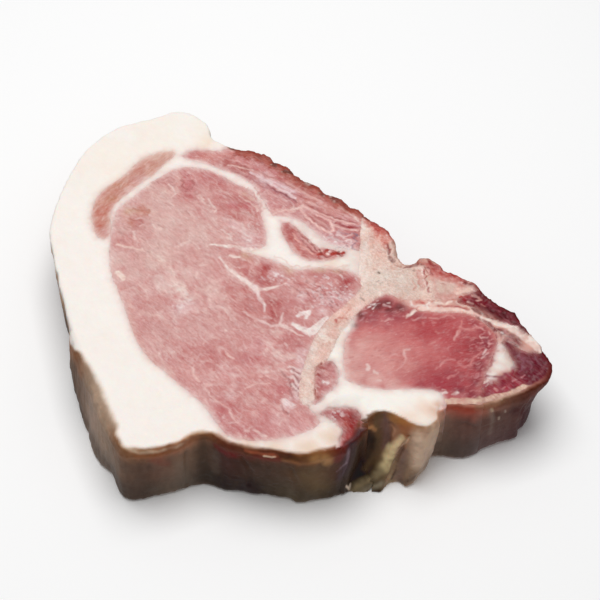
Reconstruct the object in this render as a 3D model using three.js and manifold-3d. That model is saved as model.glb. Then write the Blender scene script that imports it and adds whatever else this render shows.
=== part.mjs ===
// A raw pork loin chop cut through the loin, the T-bone and the tenderloin, lying on its lower cut face.
//
// Millimetres, +Z up. +X runs from the back fat to the thin end of the tenderloin, +Y from the belly edge to
// the sawn spine. Every tissue runs straight through the slice, so each one is the slice of the chop inside its
// own outline, and the fats are what is left between the muscles and the bone. A hair gap parts neighbours.
import * as THREE from "three";
import { mergeVertices } from "three/addons/utils/BufferGeometryUtils.js";
import Module from "manifold-3d";

const wasm = await Module();
wasm.setup();

// ---------------------------------------------------------------- driving dimensions
const THICKNESS = 23; // of the slice
const TISSUE_GAP = 0.3; // between two tissues
const OUTLINE_STEP = 2.2; // between two points of the chop's edge
const TISSUE_STEP = 2.8; // between two points of a tissue's outline
const FACE_STEP = 4; // between two points of the upper face
const SOFT_EDGE = 2.6; // radius of the upper edge along the belly cut and the near rind
const CRISP_EDGE = 0.9; // radius of the upper edge at the fat cap, the bone and the back muscle
const SOFTENS = { from: 12, to: 34 }; // how far towards the belly cut the upper edge goes from crisp to soft
const FOOT_EDGE = 0.8; // radius where the side meets the lower face
const CRAG_DEPTH = 0.7; // of the torn edge along the spine
const WALL_RINGS = [0.36, 0.68]; // heights of the side's two inner rings of points, in thicknesses
const EDGE_ARC_STEPS = 2; // facets of the rounded upper edge
const CLEARANCE = 12; // how far a cutting prism reaches past the slice
const TRIM_BOX = { width: 164, depth: 152, height: 40 }; // wider than the chop; its lid is the upper face
const MERGE_DISTANCE = 1e-4; // closer points are one

// ---------------------------------------------------------------- outlines
// The chop's edge, in stretches.
const EDGE = {
  fatCap: [[-26, 57.2], [-28, 63.6], [-33, 68.5], [-39.5, 70], [-47, 66.6], [-57.3, 63.1], [-63.5, 57.5]],
  rindBack: [[-69.5, 47.8], [-73.8, 32.2], [-75.8, 18], [-72.8, 2], [-67, -18], [-64.6, -28]],
  rindSide: [[-61.8, -36], [-56, -50], [-50, -63]],
  bellyCorner: [[-47, -67.4], [-42.5, -67.8]],
  bellyCut: [
    [-36, -67], [-30.5, -65], [-26.5, -62], [-22.5, -62], [-15, -66], [-5, -67.8], [4, -69.4], [9, -68.2],
  ],
  bellyEnd: [[14.5, -66.4], [18.5, -63.5]],
  valley: [[21, -59.5], [23, -55.6]],
  flap: [[27, -54.6], [33, -57.8], [39.5, -58.8], [42.6, -56], [42.4, -52.6]],
  tenderloinSide: [[45, -51.8], [53, -52], [62, -49.6], [70, -46.6]],
  tip: [[75.4, -42.2], [77.4, -36.8], [75, -31]],
  innerSide: [[71.5, -26], [67, -18.2], [60.4, -12.2], [54.8, -5.2]],
  disc: [[48.5, -1.6], [43.5, 3.6], [39.8, 4.8]],
  spinalCanal: [[37.8, 1.8], [33.8, 2.4]],
  spine: [[32, 9.2], [31, 15.2], [26.4, 19.2], [22.6, 23.4]],
  backMuscle: [[16.6, 28.2], [9.2, 34.2], [2.2, 40.4], [-4.8, 46.4], [-12.4, 51.1], [-18.4, 52.6]],
};

// The tissues that own their outline, in cutting order: an earlier one keeps what two of them claim. Points
// past the chop's edge only carry the outline out of the slice.
const TISSUES = {
  cartilage: [
    [40.6, 7], [58, 2], [58, -6.5], [54.6, -10], [49, -12], [43.4, -12.4], [42.6, -5], [40.8, 0.5],
  ],
  bone: [
    [23, 26], [34, 22], [37, 9], [46, 6], [46, -12.4], [39, -12.6], [33, -11.8], [28.8, -10.2], [24, -13.2],
    [17.4, -21], [12.6, -30], [10.6, -35.4], [7.4, -38.4], [6.9, -50], [4.6, -52.6], [2.6, -50], [3, -41],
    [5.2, -32], [9.4, -22], [16.6, -13.6], [21, -7.6], [20.6, 0], [21.2, 8], [21.6, 17],
  ],
  pocket_muscle: [
    [-3.2, 19.4], [0.2, 18.8], [4.6, 13.4], [7.8, 9.4], [12, 8.6], [17.4, 6.8], [14, 4.4], [4, 4], [-1.4, 10.6],
  ],
  rib_muscle: [
    [5, -38.6], [8, -36.4], [11.6, -35.4], [13.8, -40], [12.6, -46], [9.6, -48.2], [7.8, -51.8], [5, -50],
  ],
  flank_muscle: [
    [8, -54.6], [13, -52], [19, -52.2], [20.7, -56], [21, -60.5], [24, -64], [17, -71], [13.4, -65], [14.4, -60],
    [12, -56.6],
  ],
  cap_muscle: [
    [-63.3, 24], [-61.6, 31.5], [-55, 38.6], [-48, 48.4], [-42, 51.4], [-38, 51], [-43.4, 42.4], [-51, 33.6],
    [-57, 25], [-57.2, 12.4], [-60, 12.6],
  ],
  side_muscle: [
    [58, -1], [78, -21], [70.6, -26.4], [66, -23], [60.4, -19.8], [55, -15.6], [49.4, -13], [54.6, -9.4],
  ],
  tip_muscle: [
    [62.4, -27.6], [66.4, -31], [70, -32.4], [79, -30], [82, -44], [74, -56], [55.4, -56], [55, -46],
    [57.4, -43.9], [61.4, -42.2], [64.8, -39.6], [64.6, -35.6], [63, -31.4],
  ],
  tenderloin: [
    [24, -9], [30, -10.6], [37.6, -16.6], [47, -17.4], [53.4, -18.4], [59.4, -24.2], [60.6, -28.4], [57.4, -37],
    [54.6, -45.4], [54.8, -56], [43.4, -56], [43.4, -47.4], [36, -45.6], [27, -45.8], [19, -44.4], [16, -42.6],
    [15.8, -29], [18.8, -21], [20, -14],
  ],
  loin_eye: [
    [-56.2, 13], [-55.8, 23.6], [-50, 31], [-43.4, 39], [-36, 43.8], [-27, 42.6], [-20.6, 38.4], [-14, 33.6],
    [-10.7, 27.4], [-9, 20], [-8.2, 9.4], [-13.6, 7.2], [-6, 4], [0.5, 0.2], [10, 0.8], [18.4, -1.4], [23, -6],
    [18, -16], [11, -22], [8, -30], [7, -36], [5, -44], [4, -51], [8.4, -57.4], [-3, -63.2],
    [-17, -62], [-24, -52.4], [-34, -42.2], [-44, -31], [-50, -15], [-55.6, 1],
  ],
  back_muscle: [
    [-36, 49.2], [-31, 52.4], [-24, 51.2], [-18, 57], [2, 50], [27, 28], [26, 8], [17.4, 8.4], [11.8, 10.6],
    [8, 14], [4.6, 18.4], [-0.4, 21.4], [-6, 22.8], [-8.8, 28.6], [-12, 35.2], [-18.4, 40.6], [-26.4, 44.8],
  ],
};

// What the muscles and the bone leave falls apart into these fats, each inside a loose outline of its own.
const FATS = {
  inner_fat: [
    [22, -11], [15.6, -18], [11, -26], [8, -34], [5, -41], [5, -52], [7, -57.3], [14, -57.7], [17, -62],
    [25, -72], [45, -72], [45, -50], [52, -40], [24, -40],
  ],
  tenderloin_fat: [[28, -8], [58, -8], [84, -22], [84, -34], [70, -44], [52, -50], [50, -30], [28, -22]],
  back_fat: [
    [6, -90], [26, -90], [17, -62], [14, -57.9], [7, -57.5], [5, -52], [24, -10], [24, 90], [-90, 90],
    [-90, -90],
  ],
};

// How far each tissue's face sinks towards its rim, and how wide that slope is.
const DISHING = {
  loin_eye: { depth: 0.35, width: 4 },
  tenderloin: { depth: 0.5, width: 4 },
  back_muscle: { depth: 0.45, width: 3 },
  cap_muscle: { depth: 0.6, width: 3 },
  pocket_muscle: { depth: 0.5, width: 2 },
  rib_muscle: { depth: 0.5, width: 2 },
  flank_muscle: { depth: 0.8, width: 3 },
  tip_muscle: { depth: 0.5, width: 3 },
  side_muscle: { depth: 0.5, width: 3 },
};

// The slow swell of the whole face: its depth, and how fast it turns per millimetre.
const FACE_SWELL = { depth: 0.25, alongX: 0.09, alongY: 0.08 };

// Places where the face lies low: the craters of the sawn spine and the slack ends of the slice.
const HOLLOWS = [
  { x: 76, y: -38, reach: 10, depth: 1.2 }, // the drooping tip
  { x: 4, y: 41, reach: 9, depth: 1.0 }, // the dried edge of the back muscle
  { x: 30, y: 6, reach: 6, depth: 0.8 }, // beside the spinal canal
  { x: 20, y: -57, reach: 6, depth: 1.2 }, // the flank muscle at the valley
  { x: -24, y: -60, reach: 7, depth: 0.7 }, // the belly cut's dent
];

// How far the side lies off the upper edge, half way down and at the foot. Between these places it follows the
// nearer one, and away from them it is upright.
const HEM_REACH = 4.5;
const HEM_REST = 0.105; // how firmly the upright side holds against them
const HEM = [
  { x: -63.4, y: -30, mid: [-2, 0], foot: [-2.2, -0.4] }, // the rind bulges below the edge
  { x: -60.4, y: -40, mid: [-1.6, -0.4], foot: [-2.8, -1.2] },
  { x: -55, y: -51, mid: [-1.4, -0.6], foot: [-3, -1.6] },
  { x: -47, y: -66, mid: [-0.6, -0.6], foot: [-0.8, -1.6] }, // its corner
  { x: -33, y: -66, mid: [0, 0], foot: [0, 0] },
  { x: -23.6, y: -62, mid: [0, -1], foot: [0, -3] }, // the dent in the belly cut
  { x: 9, y: -68, mid: [-0.6, -0.3], foot: [-2.4, -1.2] }, // the end of the belly cut
  { x: 15, y: -66, mid: [-1.4, -1], foot: [-4.2, -2.6] },
  { x: 21, y: -59.5, mid: [-2.4, -2.4], foot: [-6.6, -8.2] }, // the valley runs down to the left
  { x: 26, y: -55, mid: [-2, -3.2], foot: [-5.6, -14.8] }, // the left fold of the flap flares over it
  { x: 30, y: -56, mid: [-1.4, -2.4], foot: [-5.2, -11] },
  { x: 37, y: -58.8, mid: [-1.6, -4], foot: [-4.4, -7.8] }, // the right fold hangs out
  { x: 42.4, y: -56, mid: [-1, -0.6], foot: [-4.2, -1] }, // and tucks in at its end
  { x: 43, y: -52, mid: [-0.4, -0.8], foot: [-1.8, -3] },
  { x: 49, y: -52, mid: [-0.4, -1.2], foot: [-1.2, -3.4] }, // the tenderloin
  { x: 62, y: -49.5, mid: [0, -0.4], foot: [0, 0.6] },
  { x: 74.6, y: -43, mid: [-5, 0.4], foot: [-6, 0] }, // the overhanging tip
  { x: 77.4, y: -36, mid: [-5.2, 0], foot: [-6, 0.4] },
];
const FOLD_CREASE = { x: 33.6, y: -58, reach: 2.2, depth: 3.6, begins: 0.25 }; // parts the folds below that share

// ---------------------------------------------------------------- colours and finish of the tissues
const FINISHES = {
  muscle: { color: 0xc4837f, roughness: 0.42 },
  dark_muscle: { color: 0xa04f52, roughness: 0.4 },
  fat: { color: 0xf1e8e0, roughness: 0.5 },
  bone: { color: 0xe0c3b4, roughness: 0.6 },
  cartilage: { color: 0xe3bdb0, roughness: 0.4 },
};
const FINISH_OF = {
  loin_eye: "muscle",
  back_muscle: "muscle",
  cap_muscle: "muscle",
  rib_muscle: "muscle",
  pocket_muscle: "dark_muscle",
  tenderloin: "dark_muscle",
  tip_muscle: "dark_muscle",
  side_muscle: "dark_muscle",
  flank_muscle: "dark_muscle",
  back_fat: "fat",
  inner_fat: "fat",
  tenderloin_fat: "fat",
  bone: "bone",
  cartilage: "cartilage",
};

// ---------------------------------------------------------------- small helpers
const clamp01 = (t) => Math.min(1, Math.max(0, t));

// Rises smoothly from 0 where t is at low to 1 where it is at high.
function ease(t, low, high) {
  const s = clamp01((t - low) / (high - low));
  return s * s * (3 - 2 * s);
}

// A bell of height 1 round a place of the face.
const bell = (x, y, place) =>
  Math.exp(-((x - place.x) ** 2 + (y - place.y) ** 2) / place.reach ** 2);

// A smooth closed curve through the points, as counter-clockwise points about one step apart.
function smoothLoop(points, step) {
  const knots = points.map(([x, y]) => new THREE.Vector3(x, y, 0));
  const curve = new THREE.CatmullRomCurve3(knots, true, "centripetal");
  const count = Math.round(curve.getLength() / step);
  const loop = curve
    .getSpacedPoints(count)
    .slice(0, count)
    .map((p) => new THREE.Vector2(p.x, p.y));
  return THREE.ShapeUtils.isClockWise(loop) ? loop.reverse() : loop;
}

// The outward direction at each point of a counter-clockwise loop.
function outwards(loop) {
  return loop.map((_, i) => {
    const before = loop[(i + loop.length - 1) % loop.length];
    const after = loop[(i + 1) % loop.length];
    const along = after.clone().sub(before).normalize();
    return new THREE.Vector2(along.y, -along.x);
  });
}

// The loop moved outwards by a distance, or inwards where it is negative.
function grown(loop, distance) {
  const out = outwards(loop);
  return loop.map((p, i) => p.clone().addScaledVector(out[i], distance));
}

// How far a point of the face lies inside a loop, or 0 outside it.
function depthInside(x, y, loop) {
  let inside = false;
  let nearest = Infinity;
  for (let i = 0, j = loop.length - 1; i < loop.length; j = i++) {
    const a = loop[j];
    const b = loop[i];
    if (a.y > y !== b.y > y && x < ((b.x - a.x) * (y - a.y)) / (b.y - a.y) + a.x) inside = !inside;
    const along = b.clone().sub(a);
    const t = clamp01(((x - a.x) * along.x + (y - a.y) * along.y) / along.lengthSq());
    nearest = Math.min(nearest, Math.hypot(x - a.x - t * along.x, y - a.y - t * along.y));
  }
  return inside ? nearest : 0;
}

// A closed solid of the manifold library from a closed three.js geometry.
function solidOf(geometry) {
  const bare = geometry.index ? geometry.toNonIndexed() : geometry.clone();
  bare.deleteAttribute("normal");
  bare.deleteAttribute("uv");
  const merged = mergeVertices(bare, MERGE_DISTANCE);
  return new wasm.Manifold(
    new wasm.Mesh({
      numProp: 3,
      vertProperties: merged.attributes.position.array,
      triVerts: new Uint32Array(merged.index.array),
    }),
  );
}

// The upright prism over a loop, reaching past both faces of the slice.
function prism(loop) {
  const geometry = new THREE.ExtrudeGeometry(new THREE.Shape(loop), {
    depth: THICKNESS + 2 * CLEARANCE,
    bevelEnabled: false,
  });
  return solidOf(geometry.translate(0, 0, -CLEARANCE));
}

// The largest of the bodies that a solid falls into.
function mainBody(solid) {
  return solid.decompose().reduce((best, body) => (body.volume() > best.volume() ? body : best));
}

// ---------------------------------------------------------------- the slice
const tissueLoops = Object.fromEntries(
  Object.entries(TISSUES).map(([name, points]) => [name, smoothLoop(points, TISSUE_STEP)]),
);

// The edge's small crags along the sawn spine and the dried back muscle: waves out of step, each with its
// height, its radians to a millimetre and its start.
const CRAG_WAVES = [[0.45, 0.9, 0], [0.32, 1.7, 1.3], [0.23, 2.9, 0.4]];
const CRAG_RUN = -0.8; // the waves run along X and this much of Y, which is the way the spine goes
const TORN_FROM = { x: -14, y: -12 }; // where the torn edge begins
const TORN_TO = { x: 58 }; // and where it ends
const TORN_FADE = 8; // length of its ends

function crag(p) {
  const along = p.x + CRAG_RUN * p.y;
  const waves = CRAG_WAVES.map(([height, rate, start]) => height * Math.sin(along * rate + start));
  const wave = waves.reduce((sum, height) => sum + height, 0);
  const begunX = ease(p.x, TORN_FROM.x, TORN_FROM.x + TORN_FADE);
  const begunY = ease(p.y, TORN_FROM.y, TORN_FROM.y + TORN_FADE);
  const ended = ease(p.x, TORN_TO.x - TORN_FADE, TORN_TO.x);
  return CRAG_DEPTH * wave * begunX * begunY * (1 - ended);
}

function chopEdge() {
  const loop = smoothLoop(Object.values(EDGE).flat(), OUTLINE_STEP);
  const out = outwards(loop);
  return loop.map((p, i) => p.clone().addScaledVector(out[i], crag(p)));
}

// The height of the upper face over a point of the plan.
function faceHeight(x, y) {
  let dip = FACE_SWELL.depth * (1 + Math.sin(x * FACE_SWELL.alongX + 1) * Math.cos(y * FACE_SWELL.alongY));
  for (const [name, dish] of Object.entries(DISHING)) {
    const depth = depthInside(x, y, tissueLoops[name]);
    if (depth > 0) dip += dish.depth * Math.exp(-depth / dish.width);
  }
  for (const hollow of HOLLOWS) dip += hollow.depth * bell(x, y, hollow);
  return THICKNESS - dip;
}

// The radius of the upper edge, which softens from the spine towards the belly cut.
function edgeRadius(p) {
  return THREE.MathUtils.lerp(CRISP_EDGE, SOFT_EDGE, ease(-p.y, SOFTENS.from, SOFTENS.to));
}

// A point at the slice's edge moved as the hem says: a parabola from the upper edge through its two shifts.
function draped(x, y, z) {
  const down = clamp01(1 - z / THICKNESS);
  const shift = new THREE.Vector2();
  let weights = HEM_REST;
  for (const hem of HEM) {
    const weight = bell(x, y, { ...hem, reach: HEM_REACH });
    weights += weight;
    shift.addScaledVector(new THREE.Vector2(...hem.mid), 4 * weight * down * (1 - down));
    shift.addScaledVector(new THREE.Vector2(...hem.foot), weight * down * (2 * down - 1));
  }
  shift.divideScalar(weights);
  shift.y += FOLD_CREASE.depth * ease(down, FOLD_CREASE.begins, 1) * bell(x, y, FOLD_CREASE);
  return [x + shift.x, y + shift.y, z];
}

// The block inside the chop's edge, with rounded edges above and below: rings of points, capped at both ends.
function edgeBlock() {
  const edge = chopEdge();
  const out = outwards(edge);
  const rings = [];
  const ring = (heightAt, insetAt) =>
    rings.push(
      edge.map((p, i) => {
        const at = p.clone().addScaledVector(out[i], -insetAt(p));
        return draped(at.x, at.y, heightAt(p));
      }),
    );
  ring(() => 0, () => FOOT_EDGE);
  ring(() => FOOT_EDGE, () => 0);
  for (const share of WALL_RINGS) ring(() => share * THICKNESS, () => 0);
  for (let step = 0; step <= EDGE_ARC_STEPS; step++) {
    const angle = (step / EDGE_ARC_STEPS) * (Math.PI / 2);
    ring(
      (p) => THICKNESS - edgeRadius(p) * (1 - Math.sin(angle)),
      (p) => edgeRadius(p) * (1 - Math.cos(angle)),
    );
  }
  const count = edge.length;
  const positions = [];
  const triangle = (a, b, c) => positions.push(...a, ...b, ...c);
  for (let r = 0; r + 1 < rings.length; r++) {
    for (let i = 0; i < count; i++) {
      const j = (i + 1) % count;
      triangle(rings[r][i], rings[r][j], rings[r + 1][j]);
      triangle(rings[r][i], rings[r + 1][j], rings[r + 1][i]);
    }
  }
  const cap = (points, upwards) => {
    const flat = points.map(([x, y]) => new THREE.Vector2(x, y));
    for (const [a, b, c] of THREE.ShapeUtils.triangulateShape(flat, [])) {
      if (upwards) triangle(points[a], points[b], points[c]);
      else triangle(points[a], points[c], points[b]);
    }
  };
  cap(rings[0], false);
  cap(rings.at(-1), true);
  const geometry = new THREE.BufferGeometry();
  geometry.setAttribute("position", new THREE.Float32BufferAttribute(positions, 3));
  return solidOf(geometry);
}

// A box whose lid is the upper face, as a bent BoxGeometry: it trims the block down to the face's relief.
function faceBlock() {
  const { width, depth, height } = TRIM_BOX;
  const geometry = new THREE.BoxGeometry(
    width,
    depth,
    height,
    Math.round(width / FACE_STEP),
    Math.round(depth / FACE_STEP),
    1,
  );
  const position = geometry.attributes.position;
  for (let i = 0; i < position.count; i++) {
    const isLid = position.getZ(i) > 0;
    position.setZ(i, isLid ? faceHeight(position.getX(i), position.getY(i)) : -height / 2);
  }
  return solidOf(geometry);
}

// A named mesh from a solid of the slice, in its own finish.
function tissueMesh(name, solid) {
  const { vertProperties, triVerts } = mainBody(solid).getMesh();
  const geometry = new THREE.BufferGeometry();
  geometry.setAttribute("position", new THREE.BufferAttribute(vertProperties, 3));
  geometry.setIndex(new THREE.BufferAttribute(triVerts, 1));
  geometry.computeVertexNormals();
  const finish = FINISHES[FINISH_OF[name]];
  const mesh = new THREE.Mesh(geometry, new THREE.MeshStandardMaterial({ ...finish, metalness: 0 }));
  mesh.name = name;
  return mesh;
}

// Cuts the slice into its tissues: name to solid.
function carveTissues(slice) {
  const halfGap = TISSUE_GAP / 2;
  const solids = {};
  let uncut = slice;
  for (const [name, loop] of Object.entries(tissueLoops)) {
    solids[name] = uncut.intersect(prism(grown(loop, -halfGap)));
    uncut = uncut.subtract(prism(grown(loop, halfGap)));
  }
  for (const [name, points] of Object.entries(FATS)) {
    const region = prism(points.map(([x, y]) => new THREE.Vector2(x, y)));
    solids[name] = uncut.intersect(region);
  }
  return solids;
}

const chop = new THREE.Group();
chop.name = "pork_chop";
const slice = edgeBlock().intersect(faceBlock());
for (const [name, solid] of Object.entries(carveTissues(slice))) chop.add(tissueMesh(name, solid));

// The origin is under the middle of the chop, on the surface it lies on.
const bounds = new THREE.Box3().setFromObject(chop, true);
const middle = bounds.getCenter(new THREE.Vector3());
chop.position.set(-middle.x, -middle.y, -bounds.min.z);

export default chop;
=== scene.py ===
"""A raw pork loin chop on a pale table: the looks.

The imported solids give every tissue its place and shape. Here each one becomes a fine mesh with the relief of
a cut face, the crags of the dried edge and the wrinkles of the side, and is painted with its own tints,
marbling and veins in vertex attributes. Procedural materials then add fibres, grain and gloss.

Numbers are millimetres, in the frame of the solids, until a mesh or a light is written.
"""
import itertools
import math

import bmesh
import bpy
import numpy as np
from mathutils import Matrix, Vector


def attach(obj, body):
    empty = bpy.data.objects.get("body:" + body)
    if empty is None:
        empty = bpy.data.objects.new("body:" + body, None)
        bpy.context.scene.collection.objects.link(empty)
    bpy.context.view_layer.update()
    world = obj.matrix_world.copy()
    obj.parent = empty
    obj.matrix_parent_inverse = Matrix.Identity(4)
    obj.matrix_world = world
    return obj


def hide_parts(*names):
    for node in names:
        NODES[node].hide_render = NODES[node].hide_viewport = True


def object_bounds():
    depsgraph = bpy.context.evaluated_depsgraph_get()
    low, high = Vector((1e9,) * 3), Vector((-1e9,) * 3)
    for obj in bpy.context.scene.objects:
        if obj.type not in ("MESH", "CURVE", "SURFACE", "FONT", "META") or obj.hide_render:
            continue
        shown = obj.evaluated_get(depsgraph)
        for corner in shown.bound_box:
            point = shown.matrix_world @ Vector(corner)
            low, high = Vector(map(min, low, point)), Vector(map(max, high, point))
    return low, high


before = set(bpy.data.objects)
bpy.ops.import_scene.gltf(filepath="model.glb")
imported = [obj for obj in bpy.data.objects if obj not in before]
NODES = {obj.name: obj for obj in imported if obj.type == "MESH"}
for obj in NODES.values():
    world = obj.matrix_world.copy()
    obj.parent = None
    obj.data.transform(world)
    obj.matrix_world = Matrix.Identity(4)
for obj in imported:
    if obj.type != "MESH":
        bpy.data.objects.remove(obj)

MM = 0.001  # metres in a millimetre
CAD_BOX = [list(corner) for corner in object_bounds()]
LOW, HIGH = np.array(CAD_BOX) / MM
TOP = HIGH[2]

FACE_SIZE = 0.6  # side of a mesh face, halved where the detail is
SMOOTHING = (0.5, -0.53) * 5  # towards the neighbours and back out, so that the shape doesn't shrink
UPPER_LAYER = 4.0  # faces this near the top may be the cut face's
FAT_DETAIL = 3.0  # a fat has halved faces only this near another tissue
SIDE_DETAIL = 1.5  # and a side has them this near the chop's edge
UPWARD, FORWARD = 0.4, 0.25  # how much a face of the cut face faces up, and a halved one of the side forward

FIELD_STEP = 0.6  # of the grids that hold distances
FIELD_MARGIN = 3.0
FAR = 12.0  # distances beyond this aren't told apart
SECTION_HEIGHTS = (18.94, 3.13)  # where outlines are read off the solids: near the cut face and at the foot
FREE_LINE = 0.9  # an outline further than this from every other tissue is the chop's own edge

HAIR_GAP = 0.3  # between two solids
OVERLAP = 0.34  # how far a tissue reaches into its neighbour once the gap is shut
CORNER_OVERLAP = 0.6  # and how much further at the chop's side, where its corner is round
RIM_DIP = 0.5  # how steeply a levelled rim dips past the middle of the gap
FACE_NORMAL = 0.97  # a surface that faces up this much gives the cut face's height
FACE_DEPTH = 3.0  # if it lies this near the top
GROOVE_STEPS = 8  # cells that the height is carried on, over the grooves between tissues

# How much of a tint reaches the eye on the cut face and on the side, and how much plain gloss comes on top.
FACE_LIGHT, FACE_GLOSS = 0.895, 0.036
SIDE_LIGHT, SIDE_GLOSS = 0.33, 0.013
GLOW = 0.06  # how much a bright tint gains by light that bounces inside it
MATT = ("side_muscle", "tip_muscle")  # tissues so dark that gloss would turn them grey
MATT_GLOSS = 0.012
DARKEST, BRIGHTEST = 0.003, 0.955  # that a tint may be

random = np.random.default_rng(11)


# ---------------------------------------------------------------- small tools
def smooth(low, high, value):
    """0 at low, 1 at high, eased between them. low may be the larger."""
    part = np.clip((value - low) / (high - low), 0, 1)
    return part * part * (3 - 2 * part)


def srgb(code):
    """A colour such as F8F0EA as linear red, green and blue."""
    value = np.array([int(code[i:i + 2], 16) for i in (0, 2, 4)]) / 255
    return np.where(value < 0.04045, value / 12.92, ((value + 0.055) / 1.055) ** 2.4)


def lit_face(code, name=None):
    """The tint that looks like this colour on the tissue's cut face, in the studio's light."""
    seen = srgb(code)
    gloss = MATT_GLOSS if name in MATT else FACE_GLOSS
    return np.clip((seen - gloss) / (FACE_LIGHT + GLOW * seen), DARKEST, BRIGHTEST)


def lit(seen, upward):
    """The tints that look like the seen colours where the surface faces up this much, from 0 to 1."""
    upward = np.clip(upward, 0, 1)[:, None]
    light = SIDE_LIGHT + (FACE_LIGHT - SIDE_LIGHT) * upward
    gloss = SIDE_GLOSS + (FACE_GLOSS - SIDE_GLOSS) * upward
    tint = (seen - gloss) / (light + GLOW * seen)
    excess = np.maximum(tint.max(axis=1, keepdims=True) / BRIGHTEST, 1)  # of all colours, to keep the hue
    return np.maximum(tint / excess, DARKEST)


def mixed(base, other, weight):
    """base turned into other by weight, point by point."""
    return base + (other - base) * np.asarray(weight)[..., None]


LATTICE = random.random((90, 90, 30)) * 2 - 1
SEED_SHIFT = 7.31  # cells of the lattice from one seed's noise to the next


def noise(place, size, seed=0):
    """Smooth values from -1 to 1 that change over size. size is one number or one for each axis."""
    spot = place / np.asarray(size, float) + SEED_SHIFT * seed
    cell = np.floor(spot).astype(int)
    part = spot - cell
    part = part * part * (3 - 2 * part)
    total = np.zeros(len(place))
    for corner in itertools.product((0, 1), repeat=3):
        index = (cell + corner) % LATTICE.shape
        weight = np.where(corner, part, 1 - part).prod(axis=1)
        total += weight * LATTICE[index[:, 0], index[:, 1], index[:, 2]]
    return total


def layered(place, *layers):
    """Noises on top of each other, each as strong, large and seeded as its layer says."""
    return sum(strength * noise(place, size, seed) for strength, size, seed in layers)


def drift(place, size, seeds):
    """A smooth offset at each place, with a noise for each axis."""
    return np.stack([noise(place, size, seed) for seed in seeds], axis=1)


def level(points):
    """The same places with no height, so that a noise runs straight through the slice."""
    return points * (1, 1, 0)


def turned(points, degrees):
    """Places turned about the vertical, so that X runs along that direction."""
    angle = math.radians(degrees)
    along = points[:, 0] * math.cos(angle) + points[:, 1] * math.sin(angle)
    across = points[:, 1] * math.cos(angle) - points[:, 0] * math.sin(angle)
    return np.stack([along, across, points[:, 2]], axis=1)


def distance_to(places, line):
    """Each place's distance to a line of points, flat or not, and how far along it that is, from 0 to 1."""
    line = np.asarray(line, float)
    lengths = np.linalg.norm(np.diff(line, axis=0), axis=1)
    passed = np.concatenate([[0], np.cumsum(lengths)])
    nearest = np.full(len(places), np.inf)
    along = np.zeros(len(places))
    for index, length in enumerate(lengths):
        run = (line[index + 1] - line[index]) / length
        part = np.clip((places - line[index]) @ run, 0, length)
        away = np.linalg.norm(places - line[index] - part[:, None] * run, axis=1)
        closer = away < nearest
        nearest = np.where(closer, away, nearest)
        along = np.where(closer, passed[index] + part, along)
    return nearest, along / passed[-1]


def stroke_weight(points, line, start, end, blur=0.3):
    """1 along a line whose width runs from start to end, 0 beside it."""
    line = np.asarray(line, float)
    reach = max(start, end) + blur
    inside = (points > line.min(axis=0) - reach) & (points < line.max(axis=0) + reach)
    near = np.flatnonzero(inside.all(axis=1))
    weight = np.zeros(len(points))
    if len(near):
        away, along = distance_to(points[near], line)
        half = (start + (end - start) * along) / 2
        weight[near] = smooth(half + blur, np.maximum(half - blur, 0), away)
    return weight


def spot_weight(points, spots):
    """1 in the middle of the nearest of the round spots, fading outwards."""
    weight = np.zeros(len(points))
    for x, y, reach in spots:
        away = np.hypot(points[:, 0] - x, points[:, 1] - y) / reach
        weight = np.maximum(weight, np.exp(-away ** 2))
    return weight


# ---------------------------------------------------------------- distances to the tissues
def section(node, height):
    """The lines where the solid is cut by a level plane, as an array of pairs of points."""
    mesh = node.data
    mesh.calc_loop_triangles()
    corners = np.array([vertex.co for vertex in mesh.vertices]) / MM
    triangles = corners[[list(triangle.vertices) for triangle in mesh.loop_triangles]]
    above = triangles[:, :, 2] > height
    triangles = triangles[above.any(axis=1) & ~above.all(axis=1)]
    above = triangles[:, :, 2] > height
    ends = []
    for first, second in ((0, 1), (1, 2), (2, 0)):
        a, b = triangles[:, first], triangles[:, second]
        rise = b[:, 2] - a[:, 2]
        part = (height - a[:, 2]) / np.where(rise == 0, 1, rise)
        crosses = above[:, first] != above[:, second]
        ends.append(np.where(crosses[:, None], (a + (b - a) * part[:, None])[:, :2], np.nan))
    ends = np.stack(ends, axis=1)
    return ends[~np.isnan(ends[:, :, 0])].reshape(-1, 2, 2)


FIELD_START = LOW[:2] - FIELD_MARGIN
FIELD_SIZE = np.ceil((HIGH[:2] + FIELD_MARGIN - FIELD_START) / FIELD_STEP).astype(int) + 1


def distance_field(lines, signed=True):
    """A grid of distances to the lines, positive inside them where they close."""
    field = np.full(FIELD_SIZE, -FAR if signed else FAR)
    a, b = lines[:, 0], lines[:, 1]
    run = b - a
    length2 = np.maximum((run ** 2).sum(axis=1), 1e-9)
    reach = np.array([lines.min(axis=(0, 1)) - FAR, lines.max(axis=(0, 1)) + FAR])
    cells = (reach - FIELD_START) / FIELD_STEP
    first = np.maximum(np.floor(cells[0]).astype(int), 0)
    last = np.minimum(np.ceil(cells[1]).astype(int), FIELD_SIZE)
    x = FIELD_START[0] + np.arange(first[0], last[0])[:, None] * FIELD_STEP
    for row in range(first[1], last[1]):
        y = FIELD_START[1] + row * FIELD_STEP
        part = np.clip(((x - a[:, 0]) * run[:, 0] + (y - a[:, 1]) * run[:, 1]) / length2, 0, 1)
        away = np.hypot(x - a[:, 0] - part * run[:, 0], y - a[:, 1] - part * run[:, 1]).min(axis=1)
        if signed:
            crosses = (a[:, 1] > y) != (b[:, 1] > y)
            at = a[:, 0] + (y - a[:, 1]) * run[:, 0] / np.where(crosses, run[:, 1], 1)
            inside = (crosses & (at > x)).sum(axis=1) % 2 == 1
            away = np.where(inside, away, -away)
        field[first[0]:last[0], row] = np.clip(away, -FAR, FAR)
    return field


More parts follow.
